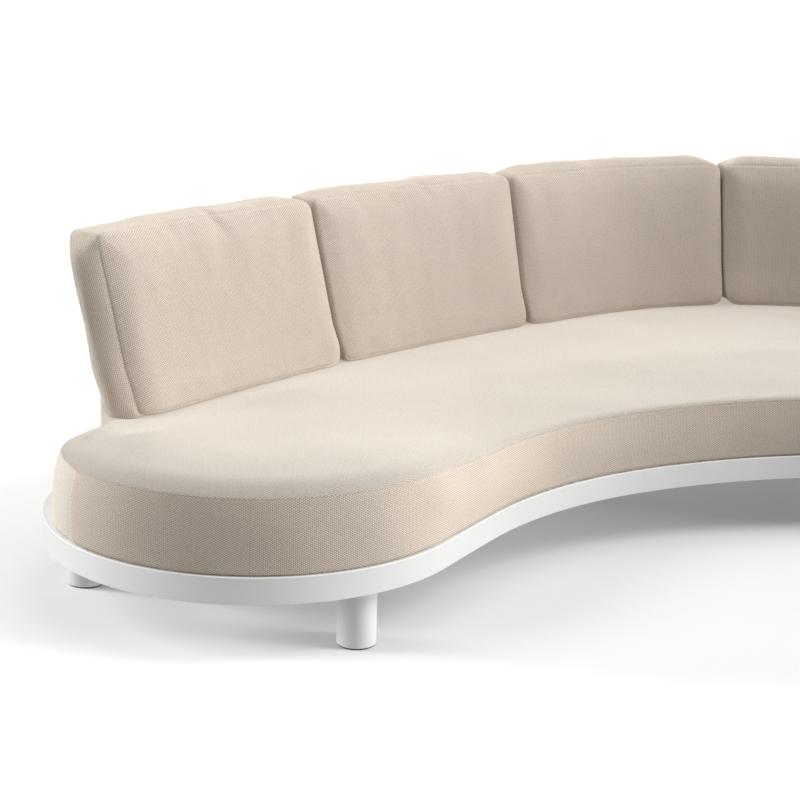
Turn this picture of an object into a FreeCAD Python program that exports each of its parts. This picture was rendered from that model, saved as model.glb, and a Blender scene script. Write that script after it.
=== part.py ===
import FreeCAD, Part
import math
import os

# Crescent outdoor sofa: a flat aluminium platform with a kidney-shaped outline
# on eight round legs, a curved back panel, one long seat cushion and six back
# cushions.  Millimetres, +Z up, +Y towards the back, origin on the floor at the
# middle of the footprint.

V = FreeCAD.Vector
doc = FreeCAD.newDocument("crescent_outdoor_sofa")

# ---------------------------------------------------------------- dimensions
sheet = doc.addObject("Spreadsheet::Sheet", "dims")
DIMS = [
    # platform outline (left half, mirrored about X = 0)
    ("front_mid_radius", 1500.0), ("front_mid_angle", 22.6),
    ("front_side_radius", 1070.0), ("front_side_angle", 53.5),
    ("front_straight", 230.0), ("lobe_radius", 505.0),
    ("rear_mid_radius", 1137.0), ("rear_mid_angle", 30.7),
    ("depth_on_axis", 1293.5), ("centre_shift", 218.7),
    # platform section
    ("deck_top", 208.0), ("deck_thickness", 5.0),
    ("skirt_height", 61.0), ("skirt_thickness", 5.0), ("skirt_edge_round", 2.5),
    ("deck_joint_offset", 760.0),
    # stiffening under the deck
    ("rib_height", 44.0), ("rib_thickness", 10.0),
    ("backing_width", 80.0), ("backing_thickness", 6.0),
    ("centre_rib_offset", 230.0),
    # legs
    ("leg_radius", 44.45), ("leg_wall", 4.0), ("leg_bottom", 4.0),
    ("flange_radius", 70.0), ("flange_thickness", 8.0), ("flange_bore", 30.0),
    ("doubler_radius", 75.0), ("doubler_thickness", 8.0),
    ("bolt_circle_radius", 58.0), ("bolt_clearance", 4.5), ("bolt_thread", 4.0),
    ("shank_radius", 3.95), ("head_radius", 7.0), ("head_height", 4.4),
    ("plug_clearance", 0.06), ("plug_bottom", 4.6), ("plug_height", 24.0),
    ("stud_bore", 6.0), ("stud_radius", 5.95), ("stud_top", 55.0),
    ("foot_radius", 42.0), ("foot_height", 3.6), ("foot_round", 1.2),
    # leg centres, in the outline's own frame
    ("leg_front_x", -1363.0), ("leg_front_y", -714.0),
    ("leg_end_x", -1977.0), ("leg_end_y", -310.0),
    ("leg_setback", 86.0), ("leg_rear_angle", 40.5),
    # back panel and its foot angle
    ("panel_inset", 60.0), ("panel_thickness", 5.0), ("panel_height", 490.0),
    ("panel_end_sweep", 9.7), ("panel_corner_round", 60.0),
    ("angle_leg", 40.0), ("angle_flat", 36.0), ("angle_thickness", 4.0),
    ("panel_hole", 4.2), ("panel_bolt_height", 26.0), ("panel_bolt_inset", 36.0),
    ("nut_height", 6.5),
    # cushions
    ("cushion_gap", 0.3), ("seat_top", 398.0), ("seat_front_inset", 3.0),
    ("seat_rear_inset", 80.0), ("seat_end_angle", 216.0), ("seat_end_radius", 357.0),
    ("seat_side_angle", 185.0), ("seat_corner_radius", 240.0),
    ("seat_corner_angle", 151.0), ("seat_top_round", 42.0),
    ("back_front_inset", 255.0), ("back_thickness", 130.0),
    ("back_top", 848.0), ("back_lean", 98.0), ("back_top_thickness", 118.0),
    ("back_gap", 2.0),
    # ends of the back cushions along the curve, at the foot and at the head;
    # the loose row stands 36 mm to the left of the middle
    ("left_foot_a", 36.0), ("left_foot_b", 795.0), ("left_foot_c", 1551.0), ("left_foot_d", 2321.0),
    ("left_head_a", 36.0), ("left_head_b", 795.0), ("left_head_c", 1583.0), ("left_head_d", 2353.0),
    ("right_foot_a", -36.0), ("right_foot_b", 729.0), ("right_foot_c", 1485.0), ("right_foot_d", 2255.0),
    ("right_head_a", -36.0), ("right_head_b", 729.0), ("right_head_c", 1517.0), ("right_head_d", 2287.0),
]
for row, (alias, value) in enumerate(DIMS, start=1):
    sheet.set("A%d" % row, alias)
    sheet.set("B%d" % row, repr(value))
    sheet.setAlias("B%d" % row, alias)
doc.recompute()


def d(alias):
    return float(getattr(sheet, alias))


# ------------------------------------------------------------ plan geometry
# The left half of the outline runs from the front of the axis, round the
# concave front, the lobe at the end and the rear, back to the axis.  Every
# piece that follows it is made from the same tangent arcs, set inwards.
SHIFT = d("centre_shift")


def m(t):
    return V(-math.sin(t), math.cos(t), 0)


T_FM = math.radians(d("front_mid_angle"))
T_FS = math.radians(d("front_side_angle"))
T_RM = math.radians(d("rear_mid_angle"))
R_FM, R_FS, R_L, R_RM = (d("front_mid_radius"), d("front_side_radius"),
                         d("lobe_radius"), d("rear_mid_radius"))
C_FM = V(0, -R_FM - SHIFT, 0)
C_FS = C_FM + m(T_FM) * (R_FM - R_FS)
P_S0 = C_FS + m(T_FS) * R_FS
P_S1 = P_S0 + V(-math.cos(T_FS), -math.sin(T_FS), 0) * d("front_straight")
C_L = P_S1 + m(T_FS) * R_L
C_RM = V(0, d("depth_on_axis") - R_RM - SHIFT, 0)
_q = C_RM + m(T_RM) * (R_RM - R_L)
_w = _q - C_L
_k = _w.dot(_w) / (2.0 * _w.dot(m(T_RM)))
R_RS = R_L + _k
C_RS = _q - m(T_RM) * _k
_o = (C_L - C_RS) * (1.0 / _k)
T_RS = math.atan2(-_o.x, _o.y)
print("rear side radius %.1f, angle %.2f" % (R_RS, math.degrees(T_RS)))


def arc(centre, radius, a0, a1):
    """Arc from direction a0 to a1 (radians), counter-clockwise."""
    return Part.ArcOfCircle(Part.Circle(V(centre.x, centre.y, 0), V(0, 0, 1), radius), a0, a1)


def seg(p, q):
    return Part.LineSegment(V(p.x, p.y, 0), V(q.x, q.y, 0))


def ang(t):
    return t + math.pi / 2.0


def front_pt(t, inset):
    if t <= T_FM:
        return C_FM + m(t) * (R_FM + inset)
    return C_FS + m(t) * (R_FS + inset)


def rear_pt(t, inset):
    if t <= T_RM:
        return C_RM + m(t) * (R_RM - inset)
    if t <= T_RS:
        return C_RS + m(t) * (R_RS - inset)
    return C_L + m(t) * (R_L - inset)


def front_arcs(inset, t_from=0.0, t_to=None):
    """Concave front arcs between two angles, both >= 0."""
    t_to = T_FS if t_to is None else t_to
    out = []
    if t_from < T_FM:
        out.append(arc(C_FM, R_FM + inset, ang(t_from), ang(min(T_FM, t_to))))
    if t_to > T_FM:
        out.append(arc(C_FS, R_FS + inset, ang(max(T_FM, t_from)), ang(t_to)))
    return out


def rear_arcs(inset, t_from=0.0, t_to=None):
    t_to = T_RS if t_to is None else t_to
    out = []
    if t_from < T_RM:
        out.append(arc(C_RM, R_RM - inset, ang(t_from), ang(min(T_RM, t_to))))
    if t_to > T_RM and t_from < T_RS:
        out.append(arc(C_RS, R_RS - inset, ang(max(T_RM, t_from)), ang(min(T_RS, t_to))))
    if t_to > T_RS:
        out.append(arc(C_L, R_L - inset, ang(max(T_RS, t_from)), ang(t_to)))
    return out


def lobe_arc(inset):
    return arc(C_L, R_L - inset, ang(T_RS), T_FS + 1.5 * math.pi)


def straight(inset):
    o = m(T_FS) * inset
    return seg(P_S0 + o, P_S1 + o)


def half_curve(inset):
    return front_arcs(inset) + [straight(inset), lobe_arc(inset)] + rear_arcs(inset)


def solve(fun, lo, hi):
    flo = fun(lo)
    for _ in range(80):
        mid = 0.5 * (lo + hi)
        if (fun(mid) > 0) == (flo > 0):
            lo = mid
        else:
            hi = mid
    return 0.5 * (lo + hi)


# ------------------------------------------------------------ body helpers
def origin_plane(body, role):
    for f in body.Origin.OriginFeatures:
        if f.Role == role:
            return f
    raise RuntimeError(role)


def new_body(label):
    body = doc.addObject("PartDesign::Body", label)
    body.Label = label
    return body


def sketch_on(body, name, geometry, z_expr=None, role="XY_Plane"):
    sk = body.newObject("Sketcher::SketchObject", name)
    sk.AttachmentSupport = [(origin_plane(body, role), "")]
    sk.MapMode = "FlatFace"
    for g in geometry:
        sk.addGeometry(g, False)
    if z_expr:
        sk.setExpression(".AttachmentOffset.Base.z", z_expr)
    return sk


def pad_on(body, sk, length_expr, name="Pad"):
    pad = body.newObject("PartDesign::Pad", body.Name + "_" + name)
    pad.Profile = sk
    pad.setExpression("Length", length_expr)
    sk.Visibility = False
    return pad


def pocket_all(body, sk, name="Holes"):
    """Round holes cut right through, on both sides of the sketch."""
    pk = body.newObject("PartDesign::Pocket", body.Name + "_" + name)
    pk.Profile = sk
    pk.Type = 1
    pk.Midplane = True
    return pk


def circles(points, radius):
    return [Part.Circle(V(p.x, p.y, 0), V(0, 0, 1), radius) for p in points]


def mirrored(source, label):
    mir = doc.addObject("Part::Mirroring", label)
    mir.Label = label
    mir.Source = source
    mir.Normal = V(1, 0, 0)
    mir.Base = V(0, 0, 0)
    return mir


def edge_fillet(body, edges, radius_expr, name="Round"):
    base = body.Tip
    fl = body.newObject("PartDesign::Fillet", body.Name + "_" + name)
    fl.Base = (base, edges)
    fl.setExpression("Radius", radius_expr)
    return fl


SUBPARTS = []

# ----------------------------------------------------------------- the skirt
SKT = d("skirt_thickness")


def skirt(label):
    body = new_body(label)
    yf, yb = front_pt(0, 0), rear_pt(0, 0)
    geo = half_curve(0) + half_curve(SKT) + [seg(yf, front_pt(0, SKT)),
                                             seg(yb, rear_pt(0, SKT))]
    sk = sketch_on(body, label + "_profile", geo, "dims.deck_top - dims.skirt_height")
    pad_on(body, sk, "dims.skirt_height")
    doc.recompute()
    top = d("deck_top")
    names = []
    outer = [(C_FM, R_FM), (C_FS, R_FS), (C_L, R_L), (C_RM, R_RM), (C_RS, R_RS)]
    for i, e in enumerate(body.Tip.Shape.Edges, start=1):
        z = [v.Z for v in e.Vertexes]
        if len(z) == 2 and min(z) > top - 0.01:
            c = e.Curve
            if isinstance(c, Part.Circle):
                if any(abs(c.Radius - r) < 0.01 and abs(c.Center.x - o.x) < 0.01 for o, r in outer):
                    names.append("Edge%d" % i)
            else:
                p = e.valueAt(0.5 * (e.FirstParameter + e.LastParameter))
                mid = (P_S0 + P_S1) * 0.5
                if abs(p.x - mid.x) < 1 and abs(p.y - mid.y) < 1:
                    names.append("Edge%d" % i)
    edge_fillet(body, names, "dims.skirt_edge_round")
    return body


skirt_left = skirt("skirt_left")
SUBPARTS += [skirt_left, mirrored(skirt_left, "skirt_right")]

# ------------------------------------------------------------ leg positions
P_FRONT = V(d("leg_front_x"), d("leg_front_y") - SHIFT, 0)
P_END = V(d("leg_end_x"), d("leg_end_y") - SHIFT, 0)
P_REAR = rear_pt(math.radians(d("leg_rear_angle")), d("leg_setback"))
P_CF = front_pt(0, d("leg_setback"))
P_CR = rear_pt(0, d("leg_setback"))


def mx(p):
    return V(-p.x, p.y, p.z)


LEGS = [("front_left", P_FRONT), ("front_right", mx(P_FRONT)),
        ("end_left", P_END), ("end_right", mx(P_END)),
        ("rear_left", P_REAR), ("rear_right", mx(P_REAR)),
        ("centre_front", P_CF), ("centre_rear", P_CR)]

# bolts that hold the back panel: angles along the rear curve, in degrees
PANEL_STATIONS = [7.0, 19.0, 33.0, 38.0, 43.0, 47.6]
UPRIGHT_STATIONS = [9.5, 21.5, 34.0, 39.0, 44.0, 48.25]

# ------------------------------------------------------------------ the deck
XJ = d("deck_joint_offset")
T_FJ = solve(lambda t: front_pt(t, SKT).x + XJ, T_FM, T_FS)
T_RJ = solve(lambda t: rear_pt(t, SKT).x + XJ, T_RM, T_RS)


def deck_end(label):
    body = new_body(label)
    geo = front_arcs(SKT, T_FJ, T_FS) + [straight(SKT), lobe_arc(SKT)] + rear_arcs(SKT, T_RJ, T_RS)
    geo.append(seg(front_pt(T_FJ, SKT), rear_pt(T_RJ, SKT)))
    sk = sketch_on(body, label + "_profile", geo, "dims.deck_top - dims.deck_thickness")
    pad_on(body, sk, "dims.deck_thickness")
    doc.recompute()
    holes = [rear_pt(math.radians(a), d("panel_bolt_inset")) for a in UPRIGHT_STATIONS]
    holes = [p for p in holes if p.x < -XJ - 12]
    hs = sketch_on(body, label + "_holes", circles(holes, d("panel_hole")), "dims.deck_top")
    pocket_all(body, hs)
    return body


def deck_centre(label):
    body = new_body(label)
    geo = []
    for side in (1, -1):
        for g in front_arcs(SKT, 0.0, T_FJ) + rear_arcs(SKT, 0.0, T_RJ):
            if side == -1:
                c, r, a0, a1 = g.Center, g.Radius, g.FirstParameter, g.LastParameter
                g = arc(V(-c.x, c.y, 0), r, math.pi - a1, math.pi - a0)
            geo.append(g)
    a, b = front_pt(T_FJ, SKT), rear_pt(T_RJ, SKT)
    geo += [seg(a, b), seg(mx(a), mx(b))]
    sk = sketch_on(body, label + "_profile", geo, "dims.deck_top - dims.deck_thickness")
    pad_on(body, sk, "dims.deck_thickness")
    doc.recompute()
    holes = [rear_pt(math.radians(s), d("panel_bolt_inset")) for s in UPRIGHT_STATIONS]
    holes = [p for p in holes if p.x > -XJ + 12]
    hs = sketch_on(body, label + "_holes", circles(holes + [mx(p) for p in holes], d("panel_hole")),
                   "dims.deck_top")
    pocket_all(body, hs)
    return body


deck_left = deck_end("deck_left")
SUBPARTS += [deck_left, mirrored(deck_left, "deck_right"), deck_centre("deck_centre")]


# ------------------------------------------------ bars welded under the deck
def bar(label, p, q, width_expr, height_expr, top_expr):
    """Straight flat bar centred on the line from p to q, its top at the given level."""
    box = doc.addObject("Part::Box", label)
    box.Label = label
    run = q - p
    box.Length = run.Length
    box.setExpression("Width", width_expr)
    box.setExpression("Height", height_expr)
    ux = V(run.x, run.y, 0).normalize()
    side = V(-ux.y, ux.x, 0) * (-0.5 * d(width_expr.split(".")[1]))
    start = p + side
    box.Placement = FreeCAD.Placement(V(start.x, start.y, 0),
                                      FreeCAD.Rotation(V(0, 0, 1), math.degrees(math.atan2(ux.y, ux.x))))
    box.setExpression(".Placement.Base.z", top_expr + " - " + height_expr)
    return box


DECK_UNDER = "dims.deck_top - dims.deck_thickness"
BACK_UNDER = DECK_UNDER + " - dims.backing_thickness"
# backing strip and rib under each deck joint
JA, JB = front_pt(T_FJ, SKT), rear_pt(T_RJ, SKT)
strip_l = bar("joint_strip_left", V(-XJ, JA.y + 42, 0), V(-XJ, JB.y - 44, 0),
              "dims.backing_width", "dims.backing_thickness", DECK_UNDER)
rib_joint = bar("joint_rib_left", V(-XJ, JA.y + 10, 0), V(-XJ, JB.y - 10, 0),
                "dims.rib_thickness", "dims.rib_height", BACK_UNDER)
# rib across the lobe, and the one beside the axis
RA0 = C_L + V(math.cos(math.radians(-25.0)), math.sin(math.radians(-25.0)), 0) * (R_L - SKT - 3.0)
RA1 = C_L + V(math.cos(math.radians(130.0)), math.sin(math.radians(130.0)), 0) * (R_L - SKT - 3.0)
rib_lobe = bar("lobe_rib_left", RA0, RA1, "dims.rib_thickness", "dims.rib_height", DECK_UNDER)
XC = d("centre_rib_offset")
T_FC = solve(lambda t: front_pt(t, SKT).x + XC, 0.0, T_FM)
T_RC = solve(lambda t: rear_pt(t, SKT).x + XC, 0.0, T_RM)
rib_axis = bar("centre_rib_left", V(-XC, front_pt(T_FC, SKT).y + 4, 0),
               V(-XC, rear_pt(T_RC, SKT).y - 4, 0),
               "dims.rib_thickness", "dims.rib_height", DECK_UNDER)
for base in (strip_l, rib_joint, rib_lobe, rib_axis):
    SUBPARTS += [base, mirrored(base, base.Label.replace("left", "right"))]

# ---------------------------------------------------------------- the legs
Z_DECK = d("deck_top") - d("deck_thickness")
Z_DOUB = Z_DECK - d("doubler_thickness")
Z_FLAN = Z_DOUB - d("flange_thickness")
BC = d("bolt_circle_radius")
BOLT_PTS = [V(BC * math.cos(a), BC * math.sin(a), 0)
            for a in [math.radians(45 + 90 * i) for i in range(4)]]


def poly(points):
    out = []
    for i, p in enumerate(points):
        q = points[(i + 1) % len(points)]
        out.append(Part.LineSegment(V(p[0], p[1], 0), V(q[0], q[1], 0)))
    return out


def revolve(body, name, points):
    """Turn a closed (radius, height) outline about the body's Z axis."""
    sk = sketch_on(body, body.Name + "_" + name, poly(points), role="XZ_Plane")
    rv = body.newObject("PartDesign::Revolution", body.Name + "_" + name + "_turn")
    rv.Profile = sk
    rv.ReferenceAxis = (sk, ["V_Axis"])
    rv.Angle = 360.0
    return rv


def place(body, p, xs, ys):
    body.Placement = FreeCAD.Placement(V(p.x, p.y, 0), FreeCAD.Rotation())
    if xs:
        body.setExpression(".Placement.Base.x", xs)
    if ys:
        body.setExpression(".Placement.Base.y", ys)


PLACE_EXPR = {
    "front_left": ("dims.leg_front_x", "dims.leg_front_y - dims.centre_shift"),
    "front_right": ("-dims.leg_front_x", "dims.leg_front_y - dims.centre_shift"),
    "end_left": ("dims.leg_end_x", "dims.leg_end_y - dims.centre_shift"),
    "end_right": ("-dims.leg_end_x", "dims.leg_end_y - dims.centre_shift"),
    "rear_left": (None, None), "rear_right": (None, None),
    "centre_front": (None, "dims.leg_setback - dims.centre_shift"),
    "centre_rear": (None, "dims.depth_on_axis - dims.leg_setback - dims.centre_shift"),
}


def leg(where, p):
    xs, ys = PLACE_EXPR[where]
    ro = d("leg_radius")
    ri = ro - d("leg_wall")
    zb = d("leg_bottom")
    # tube with its welded top flange
    b = new_body("leg_" + where)
    revolve(b, "section", [(ri, zb), (ro - 0.8, zb), (ro, zb + 0.8), (ro, Z_FLAN),
                           (d("flange_radius"), Z_FLAN), (d("flange_radius"), Z_DOUB),
                           (d("flange_bore"), Z_DOUB), (d("flange_bore"), Z_FLAN), (ri, Z_FLAN)])
    doc.recompute()
    hs = sketch_on(b, b.Name + "_holes", circles(BOLT_PTS, d("bolt_clearance")),
                   DECK_UNDER + " - dims.doubler_thickness")
    pk = b.newObject("PartDesign::Pocket", b.Name + "_bolt_holes")
    pk.Profile = hs
    pk.setExpression("Length", "dims.flange_thickness")
    place(b, p, xs, ys)
    # doubler plate welded under the deck, tapped for the leg's bolts
    pl = new_body("leg_doubler_" + where)
    sk = sketch_on(pl, pl.Name + "_profile",
                   [Part.Circle(V(0, 0, 0), V(0, 0, 1), d("doubler_radius"))] +
                   circles(BOLT_PTS, d("bolt_thread")),
                   DECK_UNDER + " - dims.doubler_thickness")
    pad_on(pl, sk, "dims.doubler_thickness")
    place(pl, p, xs, ys)
    # plug pressed into the tube's lower end
    plug = new_body("leg_plug_" + where)
    rp = ri - d("plug_clearance")
    z0 = d("plug_bottom")
    z1 = z0 + d("plug_height")
    revolve(plug, "section", [(d("stud_bore"), z0), (rp, z0), (rp, z1 - 2), (rp - 2, z1), (d("stud_bore"), z1)])
    place(plug, p, xs, ys)
    # levelling foot: round pad on a threaded stud
    foot = new_body("levelling_foot_" + where)
    rf, fh, fr = d("foot_radius"), d("foot_height"), d("foot_round")
    revolve(foot, "section", [(0, 0), (rf - fr, 0), (rf, fr), (rf, fh), (d("stud_radius"), fh),
                              (d("stud_radius"), d("stud_top") - 1.2), (d("stud_radius") - 1.2, d("stud_top")),
                              (0, d("stud_top"))])
    place(foot, p, xs, ys)
    return [b, pl, plug, foot]


for where, p in LEGS:
    SUBPARTS += leg(where, p)


# ------------------------------------------------------------ the back panel
def band(inset_a, inset_b, t_end, t_start=0.0):
    """Closed plan outline between two insets of the rear curve."""
    return (rear_arcs(inset_a, t_start, t_end) + rear_arcs(inset_b, t_start, t_end) +
            [seg(rear_pt(t_start, inset_a), rear_pt(t_start, inset_b)),
             seg(rear_pt(t_end, inset_a), rear_pt(t_end, inset_b))])


PI_, PT_ = d("panel_inset"), d("panel_thickness")
T_END = T_RS + math.radians(d("panel_end_sweep"))
T_AEND = T_RS - math.radians(0.4)
T_AST = math.radians(3.0)


def drill(base, label, stations, radius, inset_mid, z):
    """Cross holes through a standing wall, square to the rear curve."""
    tools = []
    for i, a in enumerate(stations):
        t = math.radians(a)
        n = m(t)
        p = rear_pt(t, inset_mid) - n * 15.0
        cyl = doc.addObject("Part::Cylinder", "%s_drill_%d" % (label, i + 1))
        cyl.setExpression("Radius", radius)
        cyl.Height = 30.0
        cyl.Placement = FreeCAD.Placement(V(p.x, p.y, z), FreeCAD.Rotation(V(0, 0, 1), n))
        tools.append(cyl)
    fuse = doc.addObject("Part::MultiFuse", label + "_drills")
    fuse.Shapes = tools
    cut = doc.addObject("Part::Cut", label)
    cut.Label = label
    cut.Base = base
    cut.Tool = fuse
    return cut


Z_PB = d("deck_top") + d("panel_bolt_height")


def panel(label):
    body = new_body(label + "_blank")
    sk = sketch_on(body, label + "_profile", band(PI_, PI_ + PT_, T_END), "dims.deck_top")
    pad_on(body, sk, "dims.panel_height")
    doc.recompute()
    ztop = d("deck_top") + d("panel_height")
    names = []
    end = rear_pt(T_END, PI_ + 0.5 * PT_)
    for i, e in enumerate(body.Tip.Shape.Edges, start=1):
        p = e.valueAt(0.5 * (e.FirstParameter + e.LastParameter))
        if abs(p.z - ztop) < 0.01 and abs(p.x - end.x) < 0.6 and abs(p.y - end.y) < 0.6 and e.Length < 8:
            names.append("Edge%d" % i)
    edge_fillet(body, names, "dims.panel_corner_round")
    return drill(body, label, PANEL_STATIONS, "dims.panel_hole", PI_, Z_PB)


def foot_angle(label):
    body = new_body(label + "_blank")
    at = d("angle_thickness")
    s1 = sketch_on(body, label + "_upright", band(PI_ - at, PI_, T_AEND, T_AST), "dims.deck_top")
    pad_on(body, s1, "dims.angle_leg", "Upright")
    s2 = sketch_on(body, label + "_flat", band(PI_ - d("angle_flat"), PI_ - at, T_AEND, T_AST), "dims.deck_top")
    pad_on(body, s2, "dims.angle_thickness", "Flat")
    doc.recompute()
    pts = [rear_pt(math.radians(a), d("panel_bolt_inset")) for a in UPRIGHT_STATIONS]
    hs = sketch_on(body, label + "_holes", circles(pts, d("panel_hole")), "dims.deck_top")
    pocket_all(body, hs)
    return drill(body, label, PANEL_STATIONS, "dims.panel_hole", PI_, Z_PB)


panel_left = panel("back_panel_left")
angle_left = foot_angle("panel_angle_left")
SUBPARTS += [panel_left, mirrored(panel_left, "back_panel_right"),
             angle_left, mirrored(angle_left, "panel_angle_right")]


# ------------------------------------------------------------- the fasteners
def screw(length):
    """Button-head screw along +Z, its head's bearing face at z = 0."""
    head = Part.makeCylinder(d("head_radius"), d("head_height"), V(0, 0, -d("head_height")))
    rim = [e for e in head.Edges if abs(e.BoundBox.ZMin + d("head_height")) < 0.01 and e.BoundBox.ZLength < 0.01]
    head = head.makeFillet(2.0, rim)
    sock = Part.Face(Part.makePolygon([V(2.9 * math.cos(math.radians(60 * i)), 2.9 * math.sin(math.radians(60 * i)),
                                         -d("head_height") - 0.5) for i in range(7)]))
    head = head.cut(sock.extrude(V(0, 0, 3.1)))
    shank = Part.makeCylinder(d("shank_radius"), length)
    return head.fuse(shank).removeSplitter()


def nut():
    """Hexagon nut with its bearing face at z = 0, bored to the screw."""
    hexa = Part.Face(Part.makePolygon([V(7.5 * math.cos(math.radians(60 * i)), 7.5 * math.sin(math.radians(60 * i)), 0)
                                       for i in range(7)])).extrude(V(0, 0, d("nut_height")))
    return hexa.cut(Part.makeCylinder(d("bolt_thread"), d("nut_height") + 2, V(0, 0, -1)))


def group(label, shapes):
    f = doc.addObject("Part::Feature", label)
    f.Label = label
    f.Shape = Part.makeCompound(shapes)
    f.Placement = FreeCAD.Placement()
    return f


def put(shape, p, direction):
    s = shape.copy()
    s.Placement = FreeCAD.Placement(p, FreeCAD.Rotation(V(0, 0, 1), direction))
    return s


leg_screw = screw(d("flange_thickness") + d("doubler_thickness") - 1.5)
leg_screws = []
for where, p in LEGS:
    for b in BOLT_PTS:
        leg_screws.append(put(leg_screw, V(p.x + b.x, p.y + b.y, Z_FLAN), V(0, 0, 1)))
panel_screw = screw(d("angle_thickness") + d("panel_thickness") + d("nut_height") + 1.0)
panel_screws, panel_nuts = [], []
for side in (1, -1):
    for a in PANEL_STATIONS:
        t = math.radians(a)
        n = m(t) * -1.0
        p = rear_pt(t, PI_ - d("angle_thickness"))
        # the flat nut stands on the hollow face by its corners
        q = rear_pt(t, PI_ + PT_ + 0.04)
        p, q, n = V(p.x * side, p.y, Z_PB), V(q.x * side, q.y, Z_PB), V(n.x * side, n.y, 0)
        panel_screws.append(put(panel_screw, p, n))
        panel_nuts.append(put(nut(), q, n))
    for a in UPRIGHT_STATIONS:
        p = rear_pt(math.radians(a), d("panel_bolt_inset"))
        top = V(p.x * side, p.y, d("deck_top") + d("angle_thickness"))
        panel_screws.append(put(panel_screw, top, V(0, 0, -1)))
        panel_nuts.append(put(nut(), V(top.x, top.y, Z_DECK), V(0, 0, -1)))
SUBPARTS += [group("leg_bolts", leg_screws), group("panel_bolts", panel_screws),
             group("panel_nuts", panel_nuts)]

# ---------------------------------------------------------- the seat cushion
SI, SR = d("seat_front_inset"), d("seat_rear_inset")


def unit(degrees):
    a = math.radians(degrees)
    return V(math.cos(a), math.sin(a), 0)


# past the lobe the end is drawn in by three arcs of falling and rising radius
A_1, A_2, A_3 = d("seat_end_angle"), d("seat_side_angle"), d("seat_corner_angle")
R_1, R_2 = d("seat_end_radius"), d("seat_corner_radius")
C_1 = C_L + unit(A_1) * (R_L - SI - R_1)
C_2 = C_1 + unit(A_2) * (R_1 - R_2)
P_3 = C_2 + unit(A_3) * R_2
R_SR = R_RS - SR
_w = P_3 - C_RS
R_3 = (R_SR ** 2 - _w.dot(_w)) / (2.0 * (R_SR - _w.dot(unit(A_3))))
C_3 = P_3 - unit(A_3) * R_3
_n = C_3 - C_RS
T_K = math.atan2(-_n.x, _n.y)
print("seat end: last arc radius %.1f, rear angle %.2f" % (R_3, math.degrees(T_K)))
left = front_arcs(SI) + [straight(SI),
                         arc(C_L, R_L - SI, math.radians(A_1), T_FS + 1.5 * math.pi),
                         arc(C_1, R_1, math.radians(A_2), math.radians(A_1)),
                         arc(C_2, R_2, math.radians(A_3), math.radians(A_2)),
                         arc(C_3, R_3, ang(T_K), math.radians(A_3)),
                         arc(C_RM, R_RM - SR, ang(0.0), ang(T_RM)),
                         arc(C_RS, R_SR, ang(T_RM), ang(T_K))]
geo = list(left)
for g in left:
    if isinstance(g, Part.ArcOfCircle):
        geo.append(arc(V(-g.Center.x, g.Center.y, 0), g.Radius, math.pi - g.LastParameter, math.pi - g.FirstParameter))
    else:
        geo.append(seg(mx(g.StartPoint), mx(g.EndPoint)))
seat = new_body("seat_cushion")
sk = sketch_on(seat, "seat_cushion_profile", geo, "dims.deck_top + dims.cushion_gap")
pad_on(seat, sk, "dims.seat_top - dims.deck_top - dims.cushion_gap")
doc.recompute()
tops = ["Edge%d" % i for i, e in enumerate(seat.Tip.Shape.Edges, 1) if e.BoundBox.ZMin > d("seat_top") - 0.01]
edge_fillet(seat, tops, "dims.seat_top_round")
doc.recompute()
SUBPARTS.append(seat)

# --------------------------------------------------------- the back cushions
# The three on the left follow the rear curve; past its last arc the outer one
# runs on straight.  Length along the curve is counted on the cushions' front.
BF = d("back_front_inset")
L1 = (R_RM - BF) * T_RM
L2 = L1 + (R_RS - BF) * (T_RS - T_RM)
HEAD = V(-math.cos(T_RS), -math.sin(T_RS), 0)


def along(length):
    """Angle on the rear curve, and the straight run past it, at a length."""
    if length <= L1:
        return length / (R_RM - BF), 0.0
    if length <= L2:
        return T_RM + (length - L1) / (R_RS - BF), 0.0
    return T_RS, length - L2


def at(length, inset):
    t, run = along(length)
    return rear_pt(t, inset) + HEAD * run


def outline_at(inset, l0, l1):
    """Edges along one inset between two lengths, and their two end points."""
    t0, r0 = along(l0)
    t1, r1 = along(l1)
    geo = rear_arcs(inset, t0, t1) if t1 > t0 else []
    if r1 > r0:
        geo.append(seg(at(max(l0, L2), inset), at(l1, inset)))
    return geo


def back_cushion(label, foot, head):
    """Leaning block between two lengths along the curve, given for both ends."""
    g = d("back_gap")
    body = new_body(label)
    sections = []
    rows = (("foot", "dims.seat_top + dims.cushion_gap", BF, BF - d("back_thickness"), foot),
            ("head", "dims.back_top", BF - d("back_lean"), BF - d("back_lean") - d("back_top_thickness"), head))
    for tag, z, near, far, (l0, l1) in rows:
        l0, l1 = l0 + g, l1 - g
        geo = outline_at(near, l0, l1) + outline_at(far, l0, l1)
        geo += [seg(at(l0, near), at(l0, far)), seg(at(l1, near), at(l1, far))]
        sections.append(sketch_on(body, "%s_%s" % (label, tag), geo, z))
    doc.recompute()
    loft = body.newObject("PartDesign::AdditiveLoft", label + "_loft")
    loft.Profile = sections[0]
    loft.Sections = [sections[1]]
    loft.Ruled = True
    doc.recompute()
    return body


for side in ("left", "right"):
    for which, a, b in (("inner", "a", "b"), ("middle", "b", "c"), ("outer", "c", "d")):
        name = "back_cushion_%s_%s" % (which, side)
        c = back_cushion(name if side == "left" else name + "_unturned",
                         [d("%s_foot_%s" % (side, k)) for k in (a, b)],
                         [d("%s_head_%s" % (side, k)) for k in (a, b)])
        SUBPARTS.append(c if side == "left" else mirrored(c, name))

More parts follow.
